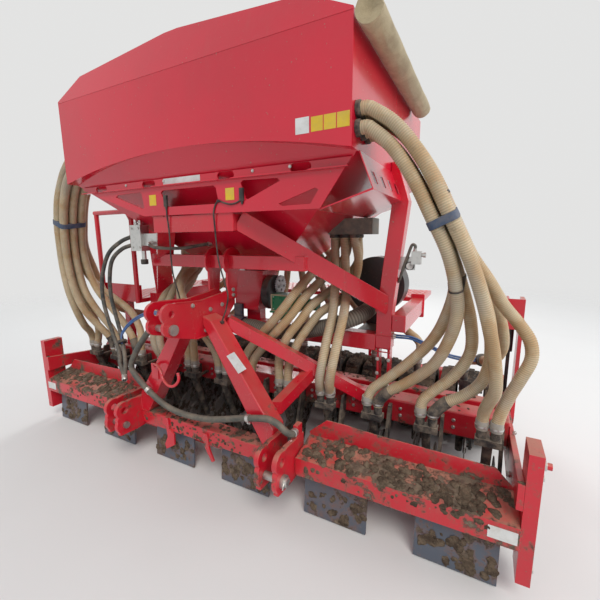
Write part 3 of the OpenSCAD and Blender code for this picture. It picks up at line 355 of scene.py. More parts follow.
disc = Finish("scoured_disc", (0.34, 0.33, 0.32), 0.35, metal=0.85)
disc.layer(disc.step(disc.cloud(90, 4, 0.7, (1, 0.1, 0.1)), 0.4, 0.7, 0, 0.6), (0.2, 0.17, 0.15), 0.5)
disc.patches((16, 7, 0.7), 0.46, 0.56, SOIL_DARK, 0.95)
disc.patches((50, 6, 0.7), 0.6, 0.68, (0.22, 0.1, 0.05), 0.85, 0.7)
disc.bump(disc.cloud(120, 5, 0.7), 0.002)
disc_steel = disc.done()

iron = Finish("caked_iron", (0.05, 0.042, 0.036), 0.8, specular=0.3)
iron.patches((6, 6, 0.7), 0.42, 0.6, (0.12, 0.085, 0.06), 0.9)
iron.patches((30, 6, 0.75), 0.52, 0.66, SOIL_PALE, 0.96)
iron.patches((48, 4, 0.6), 0.62, 0.7, (0.2, 0.19, 0.18), 0.4, 0.6)
iron.bump(iron.cloud(24, 8, 0.75), 0.012)
iron.bump(iron.cloud(130, 5, 0.8), 0.004)
ring_iron = iron.done()
print("metal finishes:", [m.name for m in (zinc, pin_steel, disc_steel, ring_iron)])

# %% [markdown]
# The seed hoses are ribbed plastic, straw coloured, slightly see-through and browned by years of dust, and
# their grooves are darkened with painted shade. Rubber and plastic parts get a dull skin with dust in
# patches.
# The cover is a coated cloth: a fine weave in the bump and broad dirt stains in the colour.

# %% Plastics, rubber, cloth and soil
def dull(name, colour, rough, dusty, tone=(0.34, 0.27, 0.2), grain=0.0015):
    f = Finish(name, colour, rough, specular=0.4)
    f.shade(f.step(f.cloud(7, 5), 0.35, 0.7, 0, 0.5), 0.65)
    f.layer(f.times(f.step(f.cloud(18, 7, 0.7), 0.38, 0.68), dusty), tone, 0.9)
    f.layer(f.times(f.step(f.facing_up(), 0.1, 0.9), 0.6 * dusty), tone, 0.92)
    f.bump(f.cloud(180, 4, 0.7), grain)
    return f


straw = dull("straw_hose", (0.67, 0.53, 0.34), 0.42, 0.3, (0.42, 0.34, 0.24), 0.0006)
straw.patches((5, 5, 0.7), 0.44, 0.62, (0.5, 0.3, 0.135), 0.5, 0.75)
straw.patches((3.1, 3), 0.5, 0.68, (0.5, 0.47, 0.4), 0.8, 0.6)
straw.patches((11, 8, 0.75), 0.6, 0.72, (0.18, 0.13, 0.085), 0.9, 0.7)
# painted shade: the grooves between the ribs are darkened, standing in for the shade that falls in them
straw.layer(straw.times(straw.groove(), 0.55), (0.24, 0.175, 0.105), 0.9)
straw.bsdf.inputs["Subsurface Weight"].default_value = 0.12
straw.bsdf.inputs["Subsurface Scale"].default_value = 0.01
hose_straw = straw.done()

duct = dull("duct_grey", (0.2, 0.185, 0.155), 0.55, 0.6)
# painted shade: the grooves between the duct's ribs are darkened almost to black
duct.layer(duct.times(duct.groove(), 0.75), (0.05, 0.042, 0.035), 0.9)
duct_grey = duct.done()

hose_black = dull("black_rubber_hose", (0.04, 0.046, 0.045), 0.42, 0.45).done()
hose_grey = dull("grey_conduit", (0.08, 0.083, 0.072), 0.5, 0.35).done()
boot_black = dull("boot_rubber", (0.028, 0.027, 0.028), 0.6, 0.6).done()
cuff_clear = dull("cuff_clear", (0.36, 0.34, 0.3), 0.28, 0.55).done()
box_green = dull("box_green", (0.006, 0.26, 0.11), 0.25, 0.12).done()
box_rim = dull("box_rim", (0.55, 0.48, 0.3), 0.5, 0.4).done()
wheel_white = dull("wheel_white", (0.8, 0.82, 0.84), 0.42, 0.12).done()
outlet_grey = dull("outlet_grey", (0.15, 0.15, 0.125), 0.55, 0.5).done()
link_blue = dull("link_blue", (0.02, 0.035, 0.09), 0.45, 0.5).done()
line_blue = dull("line_blue", (0.03, 0.125, 0.36), 0.4, 0.25).done()
strap_blue = dull("strap_blue", (0.045, 0.08, 0.15), 0.5, 0.25).done()
plate_white = dull("blank_plate", (0.74, 0.74, 0.72), 0.45, 0.3).done()
plate_yellow = dull("blank_yellow", (0.76, 0.52, 0.03), 0.4, 0.2).done()
tie_black = dull("tie_black", (0.02, 0.02, 0.022), 0.5, 0.3).done()

cloth = dull("cover_cloth", (0.45, 0.36, 0.215), 0.78, 0.5, (0.26, 0.19, 0.11))
warp, weft = cloth.cloud(600, 1, 0.5, (0.15, 1, 0.15)), cloth.cloud(600, 1, 0.5, (1, 0.15, 1))
cloth.bump(cloth.times(warp, weft), 0.0012)
cloth.patches((4, 8, 0.75), 0.55, 0.72, (0.16, 0.11, 0.07), 0.95, 0.6)
cloth.bsdf.inputs["Sheen Weight"].default_value = 0.15
cloth_cover = cloth.done()

clay = Finish("soil_clod", SOIL_DARK, 0.96, specular=0.2)
clay.patches((22, 7, 0.75), 0.36, 0.66, SOIL_PALE, 0.98)
clay.patches((70, 4, 0.6), 0.62, 0.72, (0.3, 0.24, 0.17), 0.95, 0.5)
clay.bump(clay.cloud(90, 8, 0.8), 0.01)
soil = clay.done()
print("finishes so far:", len(bpy.data.materials))

# %% [markdown]
# The floor is painted concrete in a pale warm grey, with only a breath of variation, so that nothing on it
# competes with the machine. Far out it fades into the sky behind it, and no horizon cuts through the picture.

# %% Floor finish
FADE_FROM, FADE_TO = 3.2, 10.0

ground = Finish("pale_floor", (0.72, 0.715, 0.70), 0.75, specular=0.2)
ground.patches((0.8, 5), 0.4, 0.7, (0.69, 0.68, 0.665), most=0.4)
floor.data.materials.append(ground.done())
distance = ground.add("ShaderNodeVectorMath", operation="LENGTH")
ground.tree.links.new(ground.place, distance.inputs[0])
fade = ground.add("ShaderNodeMixShader")
ground.feed(fade, 0, ground.step(distance.outputs["Value"], FADE_FROM, FADE_TO))
ground.feed(fade, 1, ground.bsdf.outputs[0])
ground.feed(fade, 2, ground.add("ShaderNodeBsdfTransparent").outputs[0])
ground.tree.links.new(fade.outputs[0], ground.tree.nodes["Material Output"].inputs["Surface"])
print("floor finish:", floor.data.materials[0].name)

# %% [markdown]
# Every solid node gets its finish by name, from one table: the paint that fits its height above the ground,
# or its metal, plastic or rubber. Plates and tubes also get a small bevel, because a real cut edge is never
# perfectly sharp and the highlight along it is what makes painted steel look heavy.

# %% Finishes of the solids
FINISH_OF = {
    hopper_red: "hopper hopper_skirt side_tray",
    outlet_grey: "outlet_boxes",
    wing_red: "wing_guards",
    low_red: "front_beam end_plates board_carrier hitch_brackets side_arms main_tube rear_coulter_beam "
             "rear_tube packer_hangers",
    frame_red: "headstock_legs top_link_plates head_straps cross_tube back_stays top_beam diagonals "
               "hopper_posts lower_cross_tube rear_arms walkway_posts rear_walkway side_step handrail "
               "metering_box",
    board_blue: "levelling_boards",
    black_paint: "drive_cover fan_housing depth_adjusters",
    pin_steel: "hitch_pins top_link_pin scrapers",
    disc_steel: "front_discs rear_discs",
    ring_iron: "packer_rings",
    boot_black: "front_coulters rear_coulters",
    wheel_white: "drive_wheel",
    box_green: "control_box",
    link_blue: "duct_connector",
    zinc: "valve_block",
}
BEVEL_OF = {
    1.0: "side_tray",
    1.5: "hopper hopper_skirt",
    2: "wing_guards head_straps levelling_boards",
    2.5: "top_link_plates packer_hangers",
    3: "end_plates hitch_brackets side_arms control_box valve_block",
    5: "front_beam cross_tube back_stays hopper_posts metering_box walkway_posts",
    6: "headstock_legs top_beam diagonals lower_cross_tube rear_arms rear_tube rear_coulter_beam",
    7: "main_tube",
}


def named(table):
    """Each solid that a table names, with what the table gives it."""
    return [(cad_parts[name], value) for value, names in table.items() for name in names.split()]


for node, finish in named(FINISH_OF):
    node.data.materials.clear()
    node.data.materials.append(finish)
for node, size in named(BEVEL_OF):
    weld = node.modifiers.new("weld", "WELD")
    weld.merge_threshold = 0.00002
    round_off = node.modifiers.new("bevel", "BEVEL")
    round_off.width = size / 1000
    round_off.segments = 2
    round_off.limit_method = "ANGLE"
    round_off.angle_limit = math.radians(35)
    round_off.use_clamp_overlap = True
    smooth = node.modifiers.new("normals", "WEIGHTED_NORMAL")
    smooth.keep_sharp = True
print("solids with a finish:", len(named(FINISH_OF)), "with a bevel:", len(named(BEVEL_OF)))

# %% [markdown]
# Many pieces here are made of the same few forms: a swept tube, a hexagon bolt, a thin plate, a clod.
# Each helper below only appends to a list of points and faces, so that a whole family, such as all the bolts,
# becomes one light object.

# %% Helpers for forms
class Form:
    """Points and faces of one piece, gathered before it becomes an object."""

    def __init__(self):
        self.points = []
        self.faces = []
        self.groove = []

    def solid(self, rings):
        """Joins closed rings of points one after the other and closes both ends."""
        loops = []
        for ring in rings:
            loops.append(range(len(self.points), len(self.points) + len(ring)))
            self.points.extend(ring)
        for a, b in zip(loops, loops[1:]):
            n = len(a)
            self.faces.extend((a[i], a[(i + 1) % n], b[(i + 1) % n], b[i]) for i in range(n))
        self.faces.append(tuple(reversed(loops[0])))
        self.faces.append(tuple(loops[-1]))

    def make(self, name, finish, body="drill", smooth=None, slot=None, hides=()):
        mesh = bpy.data.meshes.new(name)
        mesh.from_pydata([tuple(p) for p in self.points], [], self.faces)
        if self.groove:
            mark = mesh.attributes.new("groove", "FLOAT", "POINT")
            mark.data.foreach_set("value", self.groove)
        mesh.validate()
        if smooth is not None:
            mesh.shade_smooth()
            mesh.set_sharp_from_angle(angle=math.radians(smooth))
        mesh.materials.append(finish)
        ob = bpy.data.objects.new(name, mesh)
        bpy.context.collection.objects.link(ob)
        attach(ob, body)
        if hides:
            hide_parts(*hides)
        print(name, "faces:", len(mesh.polygons))
        return ob


def square_to(way):
    """Two directions square to way and to each other."""
    way = way.normalized()
    first = way.cross(RIGHT if abs(way.x) < 0.8 else -FRONT).normalized()
    return first, way.cross(first)


def ring_of(middle, a, b, radius, sides):
    turns = (2 * math.pi * k / sides for k in range(sides))
    return [middle + radius * (math.cos(t) * a + math.sin(t) * b) for t in turns]


def turned_piece(form, start, way, profile, sides=24):
    """A lathe form: profile lists (distance along, radius) in millimetres."""
    way = way.normalized()
    form.solid([ring_of(start + way * (d / 1000), *square_to(way), r / 1000, sides) for d, r in profile])


def bolt(form, start, way, size=10):
    """A hexagon head on its washer, on the face at start."""
    washer = 1.6
    turned_piece(form, start, way, [(0, size * 1.12), (washer, size * 1.12)], 20)
    turned_piece(form, start, way, [(washer + size * rise, size * wide) for rise, wide in
                                    ((0, 0.98), (0.55, 0.98), (0.65, 0.86))], 6)


def spline(points, steps):
    """A smooth route through points, as the solids' hoses follow it."""
    out = []
    for i in range(len(points) - 1):
        a, b, c, d = (points[max(i - 1, 0)], points[i], points[i + 1], points[min(i + 2, len(points) - 1)])
        for s in range(steps):
            t = s / steps
            out.append(0.5 * ((2 * b) + (c - a) * t + (2 * a - 5 * b + 4 * c - d) * t * t
                              + (3 * b - a - 3 * c + d) * t * t * t))
    return out + [points[-1]]


def route(points, steps=12):
    """A hose's full route: straight ends, smooth between."""
    places = [at(*p) for p in points]
    return [places[0], *spline(places[1:-1], steps), places[-1]]


def evenly(points, gap):
    """The same route as points a fixed distance apart."""
    out, left = [points[0]], gap
    for a, b in zip(points, points[1:]):
        length = (b - a).length
        while length > left:
            a = a.lerp(b, left / length)
            length -= left
            left = gap
            out.append(a)
        left -= length
    if (out[-1] - points[-1]).length > gap * 0.3:
        out.append(points[-1])
    return out


def sweep(form, points, radius, sides=12, groove_at=None):
    """A tube along points. radius is in millimetres, one number or a function of the point's count, and
    groove_at tells which points lie in a groove."""
    if groove_at:
        form.groove.extend(float(groove_at(i)) for i in range(len(points)) for k in range(sides))
    rings, side = [], None
    for i, p in enumerate(points):
        way = (points[min(i + 1, len(points) - 1)] - points[max(i - 1, 0)]).normalized()
        if side is None:
            side = square_to(way)[0]
        side = (side - side.dot(way) * way).normalized()
        wide = radius(i) if callable(radius) else radius
        rings.append(ring_of(p, side, way.cross(side), wide / 1000, sides))
    form.solid(rings)


def slab(form, corners, way, thick):
    """A plate from its corner points, thick millimetres along way."""
    shift = way.normalized() * (thick / 1000)
    form.solid([list(corners), [c + shift for c in corners]])


def block(form, low, high):
    """A rectangular block between two corners in millimetres."""
    (x0, y0, z0), (x1, y1, z1) = low, high
    form.solid([[at(x, y, z) for x, y in ((x0, y0), (x1, y0), (x1, y1), (x0, y1))] for z in (z0, z1)])


print("form helpers ready")

# %% [markdown]
# Thirty-five ribbed hoses feed the coulters, on the same routes as the solids. The hoses of one bundle leave
# the hopper side by side, so each is the bundle's head moved back, its own way down and a straight neck above
# its coulter. The centre and the rear rows are the same on both sides, so only their right halves are listed.

# %% Routes of the seed hoses
NECK = 22
FRONT_ROW, REAR_ROW = (300, 480.3), (790, 560.3)
CENTRE_OUTLET, REAR_OUTLET = (1299.7, 1270), (1289.7, 1240)
RIGHT_HIGH = [(840.3, 0, 1722), (882, 0, 1722), (975, 10, 1655), (1070, 20, 1530), (1155, 35, 1360),
              (1215, 60, 1235)]
RIGHT_LOW = [(840.3, 0, 1660), (882, 0, 1660), (962, 10, 1590), (1036, 25, 1480), (1101, 40, 1350),
             (1158, 70, 1225)]
LEFT_HIGH = [(-840.3, 0, 1722), (-882, 0, 1722), (-975, 10, 1655), (-1072, 20, 1530), (-1148, 40, 1380),
             (-1200, 65, 1240)]
LEFT_LOW = [(-840.3, 0, 1660), (-882, 0, 1660), (-962, 10, 1590), (-1036, 25, 1480), (-1096, 45, 1360),
            (-1146, 68, 1230)]


def hose(head, back, way, foot, row=FRONT_ROW):
    """One hose, from its bundle's head to the coulter whose middle is at foot."""
    y, z = row
    return [(a, b + back, c) for a, b, c in head] + way + [(foot, y, z + NECK), (foot, y, z)]


def mirrored(lines):
    return [[(-x, y, z) for x, y, z in line] for line in lines]


def from_box(x, back, heights, way, foot, row=FRONT_ROW):
    """A hose that leaves an outlet box straight down, from the first height to the second."""
    return hose([(x, 0, z) for z in heights], back, way, foot, row)


centre = [from_box(x, back, CENTRE_OUTLET, way, foot) for x, back, way, foot in (
    (518, 590, [(540, 548, 1150), (572, 465, 1020), (592, 390, 900), (592, 305, 760), (582, 268, 640),
                (570, 272, 560)], 564),
    (576, 590, [(592, 565, 1150), (620, 510, 1000), (652, 390, 900), (650, 305, 760), (638, 266, 640),
                (624, 272, 560)], 618),
    (634, 590, [(655, 600, 1150), (624, 596, 1015), (576, 510, 938), (515, 408, 890), (462, 366, 812),
                (408, 340, 720), (374, 318, 620), (368, 303, 560)], 368),
    (634, 655, [(630, 668, 1150), (570, 612, 1050), (508, 488, 976), (471, 380, 926), (427, 330, 848),
                (362, 306, 755), (320, 300, 655), (313, 297, 570)], 314),
    (576, 655, [(552, 660, 1170), (486, 560, 1078), (448, 358, 979), (394, 302, 886), (320, 290, 800),
                (225, 300, 700), (145, 304, 600)], 118),
    (518, 655, [(470, 640, 1170), (440, 480, 1100), (416, 328, 1014), (361, 278, 924), (280, 275, 830),
                (180, 290, 725), (92, 304, 620)], 64))]
rear_middle, *rear = [
    from_box(x, 965, REAR_OUTLET, [(knee, 965, 1000), (shin, 880, 750), (foot, 820, 670)], foot, REAR_ROW)
    for x, knee, shin, foot in ((0, -11.9, -27.9, -34), (66, 118.5, 189, 216), (132, 248.9, 405.9, 466),
                                (198, 379.3, 622.8, 716), (264, 509.7, 839.6, 966))]
HOSES = {
    "seed_hoses_right": [
        hose(RIGHT_HIGH, -10, [(1262, 90, 1110), (1302, 130, 970), (1332, 180, 830), (1348, 225, 690),
                               (1330, 262, 615), (1317, 290, 558)], 1314),
        hose(RIGHT_LOW, -10, [(1188, 100, 1100), (1195, 150, 985), (1165, 200, 860), (1110, 240, 745),
                              (1010, 275, 640), (915, 293, 565)], 868),
        hose(RIGHT_LOW, 44, [(1182, 156, 1100), (1150, 230, 960), (1095, 275, 840), (1000, 295, 720),
                             (900, 302, 620), (838, 302, 560)], 814),
        hose(RIGHT_LOW, 98, [(1200, 215, 1100), (1240, 262, 950), (1248, 290, 810), (1190, 302, 690),
                             (1108, 303, 600), (1070, 302, 550)], 1064),
        hose(RIGHT_HIGH, 44, [(1262, 145, 1110), (1306, 200, 960), (1322, 262, 810), (1300, 292, 690),
                              (1240, 300, 615), (1165, 301, 560)], 1118),
        hose(RIGHT_HIGH, 98, [(1290, 212, 1120), (1350, 270, 1020), (1410, 298, 945), (1452, 300, 880),
                              (1462, 300, 810), (1438, 300, 735), (1405, 300, 650), (1380, 300, 570)], 1368),
        hose(RIGHT_HIGH, 157.4, [(1278, 328, 1100), (1345, 400, 950), (1372, 470, 810), (1345, 580, 700),
                                 (1270, 710, 645), (1225, 780, 612)], 1216, REAR_ROW),
    ],
    "seed_hoses_left": [
        hose(LEFT_HIGH, -10, [(-1232, 75, 1100), (-1248, 100, 940), (-1265, 145, 790), (-1300, 205, 670),
                              (-1345, 268, 600), (-1365, 294, 552)], -1368),
        hose(LEFT_LOW, -10, [(-1176, 80, 1095), (-1185, 105, 945), (-1178, 150, 800), (-1150, 225, 670),
                             (-1124, 285, 570)], -1118),
        hose(LEFT_LOW, 44, [(-1172, 135, 1090), (-1170, 165, 930), (-1140, 215, 790), (-1100, 270, 670),
                            (-1068, 298, 570)], -1064),
        hose(LEFT_LOW, 98, [(-1160, 195, 1085), (-1128, 225, 940), (-1065, 272, 810), (-980, 302, 690),
                            (-895, 303, 585)], -868),
        hose(LEFT_HIGH, 44, [(-1230, 132, 1090), (-1240, 170, 930), (-1240, 220, 780), (-1250, 275, 660),
                             (-1290, 300, 575)], -1314),
        hose(LEFT_HIGH, 98, [(-1215, 205, 1080), (-1190, 275, 950), (-1110, 335, 860), (-960, 350, 770),
                             (-860, 335, 660), (-822, 308, 570)], -814),
        hose(LEFT_HIGH, 152, [(-1230, 280, 1080), (-1245, 340, 920), (-1240, 400, 800), (-1230, 500, 730),
                              (-1220, 640, 680), (-1216, 765, 630)], -1216, REAR_ROW),
    ],
    "seed_hoses_centre": centre + mirrored(centre),
    "seed_hoses_rear": mirrored(rear[::-1]) + [rear_middle] + rear,
}
print("routes:", {name: len(lines) for name, lines in HOSES.items()})

# %% [markdown]
# A hose is swept as a tube whose radius goes up and down every four millimetres, the pitch of the real ribs.
# Real ribs were chosen over a bump because so many hoses are seen against the light, where the outline has to
# be ribbed too. The grooves are also marked on the points, so that the finish can paint shade into them.

# %% Ribbed seed hoses
def ribbed(name, lines, finish, slot_name, hides, crest=24.9, valley=22.3, pitch=0.0042, sides=12):
    form = Form()
    total = 0.0
    for line in lines:
        places = evenly(route(line), pitch)
        total += pitch * len(places)
        sweep(form, places, lambda i: crest if i % 2 else valley, sides, lambda i: i % 2 == 0)
    form.make(name, finish, smooth=80, slot=slot_name, hides=hides)
    print(name, "metres of hose:", round(total, 2))


for name, lines in HOSES.items():
    ribbed(name.replace("seed_hoses", "ribbed_hoses"), lines, hose_straw, "seed_hose", [name])

# %% [markdown]
# The air duct under the metering unit is the same idea on a larger scale: a grey wire-wound sleeve whose ribs
# are far apart, so each rib gets a rounder section.

# %% Air duct
DUCT = [
    (-20, 440, 752), (50, 440, 752), (160, 440, 738), (300, 440, 748), (430, 440, 775), (540, 440, 806),
    (620, 450, 835), (680, 490, 860), (715, 560, 880), (725, 640, 900), (725, 700, 900)]
ribbed("ribbed_duct", [DUCT], duct_grey, "grey_hose", ["air_duct"], 44.8, 40.5, 0.0065, 24)

# %% [markdown]
# The hydraulic lines and the grey conduit are smooth rubber with crimped steel ends. A sweep with a plain
# radius is enough, and the crimp is a lathe form set on the last stretch of each line.

# %% Hydraulic lines
LINES = [
    [(-600.3, 160, 1300), (-620, 160, 1300), (-690, 130, 1270), (-780, 105, 1200), (-850, 100, 1080),
     (-878, 100, 950), (-862, 100, 830), (-810, 100, 680), (-740, 80, 590), (-680, 40, 520),
     (-560, -20, 470)],
    [(-600.3, 160, 1250), (-620, 160, 1250), (-680, 125, 1225), (-745, 100, 1160), (-780, 95, 1050),
     (-785, 95, 930), (-760, 95, 820), (-720, 90, 700), (-660, 60, 610), (-600, 20, 540), (-520, -50, 480)],
]
CONDUIT = [
    (-56.3, -60, 840), (-90, -60, 840), (-165, -61, 838), (-232, -60, 824), (-290, -55, 786),
    (-395, -45, 679), (-462, -40, 578), (-437, -35, 515), (-359, -30, 452), (-283, -25, 402),
    (-213, -22, 374), (-123, -22, 360), (-15, -22, 361), (89, -22, 374), (188, -22, 399), (282, -22, 427),
    (370, -22, 449), (445, -24, 464), (500, -28, 455), (540, -22, 424), (559, 2, 405), (559, 29.7, 405)]
LINE_CRIMP = [(0, 13), (4, 15.5), (12, 15.5), (14, 13.2), (34, 13.2), (36, 12.2)]
CONDUIT_CRIMP = [(0, 17), (1, 19), (20, 19), (22, 16.4)]


def crimp_ends(form, places, profile, sides):
    for place, toward in ((places[0], places[1]), (places[-1], places[-2])):
        turned_piece(form, place, toward - place, profile, sides)


rubber, sleeve, ends = Form(), Form(), Form()
for line in LINES:
    places = route(line, 10)
    sweep(rubber, places, 11.9, 14)
    crimp_ends(ends, places, LINE_CRIMP, 20)
rubber.make("rubber_lines", hose_black, smooth=60, slot="black_hose", hides=["hydraulic_hoses"])
places = route(CONDUIT, 10)
sweep(sleeve, places, 15.9, 20)
sleeve.make("rubber_conduit", hose_grey, smooth=60, slot="black_hose", hides=["front_conduit"])
crimp_ends(ends, places, CONDUIT_CRIMP, 24)
ends.make("line_crimps", zinc, smooth=40, slot="bare_steel")

# %% [markdown]
# Two pairs of thin blue air lines cross the frame: one from the left leg to the hydraulic lines, one from the
# right post to the outer seed hose. Each pair is screwed in at one end and taped to its hose at the other, so
# it is a plain tube twice, the second a little above the first, with a lump of tape over the ends.

# %% Air lines
AIR_LINES = [
    [(-127, 60, 862), (-200, 62, 866), (-300, 70, 866), (-440, 84, 852), (-560, 86, 806), (-640, 82, 752),
     (-684, 74, 700), (-682, 66, 672), (-672, 61, 650)],
    [(866, 560, 757), (905, 565, 757), (965, 582, 751), (1053, 602, 713), (1138, 620, 673), (1215, 638, 658),
     (1275, 655, 659)],
]
AIR_NUT = [(-5, 9), (10, 9), (12, 7), (18, 7)]
air, nuts, wraps = Form(), Form(), Form()
for line in AIR_LINES:
    for rise in (0, 12):
        places = [p + UP * rise / 1000 for p in route(line, 8)]
        sweep(air, places, 5.4, 12)
        turned_piece(nuts, places[0], places[1] - places[0], AIR_NUT, 6)
along_line = at(-660, 60, 610) - at(-720, 90, 700)
along_hose = at(1270, 710, 645) - at(1345, 580, 700)
turned_piece(wraps, at(-684, 70.5, 666), along_line, [(0, 24), (1, 26), (17, 26), (18, 24)], 20)
turned_piece(wraps, at(1302, 654, 668), along_hose, [(0, 29), (1, 32), (19, 32), (20, 29)], 24)
air.make("air_lines", line_blue, smooth=60, slot="blue_plastic")
nuts.make("air_line_nuts", zinc, smooth=30, slot="bare_steel")
wraps.make("air_line_tape", tie_black, smooth=50, slot="black_rubber")

# %% [markdown]
# A black hose runs from the valve block to the hopper's wall behind the straps, and two thin sensor cables
# hang from the skirt down to the legs. Each is held at both ends, by a nut, a plug or a clamp, so that none
# swings free. Long soft bends between a few chosen points are enough for such thin pieces.

# %% Valve hose and sensor cables
VALVE_HOSE = [
    (-440, 150, 1262), (-434, 126, 1258), (-405, 108, 1247), (-360, 104, 1237), (-290, 125, 1232),
    (-215, 168, 1233), (-170, 218, 1243), (-140, 266, 1252), (-128, 293, 1254)]
CABLES = [
    [(-141, 3, 1446), (-141, 3, 1392), (-141, 8, 1345), (-140, 10, 1278), (-139, 8, 1190), (-139, 14, 1105),
     (-139, 36, 1018), (-135, 56, 930), (-125, 62, 868)],
    [(322, 3, 1449), (292, 2.5, 1436), (258, 2.5, 1432), (222, 2.5, 1440), (191, 3, 1449), (170, 3, 1430),
     (159, 3, 1395), (157, 8, 1350), (160, 10, 1276), (160, 22, 1175), (160, 58, 1069), (158, 80, 1000),
     (146, 74, 930), (125, 62, 868)],
]
pipe, nuts = Form(), Form()
places = route(VALVE_HOSE, 8)
sweep(pipe, places, 9.0, 14)
pipe.make("valve_hose", hose_black, smooth=60, slot="black_hose")
turned_piece(nuts, places[0], places[2] - places[0], [(-4, 13), (16, 13), (18, 11), (44, 11), (45, 9.2)], 6)
turned_piece(nuts, places[-1], places[-3] - places[-1], [(-6, 13), (16, 13), (17, 9.2)], 6)
nuts.make("valve_hose_nuts", zinc, smooth=30, slot="bare_steel")
cables, plugs = Form(), Form()
for cable in CABLES:
    sweep(cables, route(cable, 8), 3.6, 8)
    x, y, z = cable[0]
    block(plugs, (x - 10, -4, z - 6), (x + 10, 6.8, z + 48))
    turned_piece(plugs, at(x, y, z - 5), -UP, [(0, 6), (14, 5), (16, 3.8)], 12)
for x in (-136, 118):
    block(plugs, (x, 54, 862), (x + 18, 70, 874))
block(plugs, (184, -2, 1443), (197, 6.8, 1455))
cables.make("sensor_cables", tie_black, smooth=60, slot="black_rubber")
plugs.make("sensor_plugs", tie_black, smooth=30, slot="black_rubber")

# %% [markdown]
# Where a hose meets a coulter, the real machine has a pale cuff pushed over it, or at four hoses a long black
# rubber sleeve, with a steel band. A black collar seals each hose at its upper end. All are lathe forms or
# short sweeps placed from the ends of the routes, so they always fit their hose.

# %% Cuffs, sleeves and bands on the hoses
DARK_SLEEVED = (868, 1118)
SLEEVE_STEP, SLEEVE_POINTS = 0.006, 19
CUFF = [(-2, 25.4), (4, 26.4), (38, 26.4), (42, 25.3)]
BAND = [(10, 26.2), (10.5, 28.2), (18, 28.2), (18.5, 26.2)]
COLLAR = [(0, 27), (1, 29.5), (14, 29.5), (18, 26)]
cuffs, bands, collars, sleeves = Form(), Form(), Form(), Form()
for lines in HOSES.values():
    for line in lines:
        head, below = at(*line[0]), at(*line[1])
        foot, above = at(*line[-1]), at(*line[-2])
        if abs(line[-1][0]) in DARK_SLEEVED:
            lower_end = evenly(route(line), SLEEVE_STEP)[:-1][-SLEEVE_POINTS:]
            sweep(sleeves, lower_end, lambda i: 27.2 if 0 < i < SLEEVE_POINTS - 1 else 25.9, 20)
        else:
            turned_piece(cuffs, foot, above - foot, CUFF, 20)
        turned_piece(bands, foot, above - foot, BAND, 20)
        turned_piece(collars, head, below - head, COLLAR, 24)
cuffs.make("hose_cuffs", cuff_clear, smooth=40, slot="seed_hose")
sleeves.make("hose_sleeves", boot_black, smooth=50, slot="black_rubber")
bands.make("hose_bands", zinc, smooth=40, slot="bare_steel")
collars.make("hose_collars", boot_black, smooth=40, slot="black_rubber")

# %% [markdown]
# The side bundles are tied with wide woven straps and thin black ties. A strap is a closed band round the
# outline of the bundle: the convex hull of the hoses' sections at that height, pushed out a little, because
# that is how a pulled strap lies.

# %% Straps round the bundles
HOSE_HALF = 0.0251
SPARE_MM, STRAP_MM = 0.3, 2.0


def hull(points):
    points = sorted(set(points))

    def half(seq):
        out = []
        for p in seq:
            while len(out) > 1 and ((out[-1][0] - out[-2][0]) * (p[1] - out[-2][1])
                                    - (out[-1][1] - out[-2][1]) * (p[0] - out[-2][0])) <= 0:
                out.pop()
            out.append(p)
        return out[:-1]

    return half(points) + half(reversed(points))


def nearest(places, target):
    """The route's point nearest to target, and the route's direction there."""
    i = min(range(1, len(places) - 1), key=lambda k: (places[k] - target).length)
    return places[i], (places[i + 1] - places[i - 1]).normalized()


def strap(form, lines, target, width):
    spots = [nearest(route(line), target) for line in lines]
    middle = sum((p for p, w in spots), Vector()) / len(spots)
    way = sum((w for p, w in spots), Vector()).normalized()
    a, b = square_to(way)
    outline = []
    for p, w in spots:
        d = p - middle
        d -= d.dot(way) * way
        for t in (2 * math.pi * k / 16 for k in range(16)):
            outline.append((round(d.dot(a) + HOSE_HALF * math.cos(t), 5),
                            round(d.dot(b) + HOSE_HALF * math.sin(t), 5)))
    outline = hull(outline)
    rings = []
    for grow, along in ((SPARE_MM, -width / 2), (SPARE_MM + STRAP_MM, -width / 2 + 1),
                        (SPARE_MM + STRAP_MM, width / 2 - 1), (SPARE_MM, width / 2)):
        ring = []
        for x, y in outline:
            k = 1 + grow / 1000 / math.hypot(x, y)
            ring.append(middle + way * (along / 1000) + a * x * k + b * y * k)
        rings.append(ring)
    form.solid(rings)


straps, ties = Form(), Form()
strap(straps, HOSES["seed_hoses_right"][:6], at(1150, 70, 1350), 30)
strap(straps, HOSES["seed_hoses_left"][:6], at(-1130, 80, 1400), 30)
strap(ties, HOSES["seed_hoses_right"][4:6], at(1130, 90, 1440), 9)
strap(ties, HOSES["seed_hoses_right"][1:4], at(1180, 150, 1110), 8)
straps.make("bundle_straps", strap_blue, smooth=50, slot="black_rubber")
ties.make("bundle_ties", tie_black, smooth=50, slot="black_rubber")

# %% [markdown]
# The rolled cover lies along the hopper's right edge: a coated sheet wound round a tube. It is modelled as
# the roll it is, with a spiral step, soft dents and sag folds pressed into its side, because at this size a
# wound sheet would need thousands of thin layers that nobody sees.

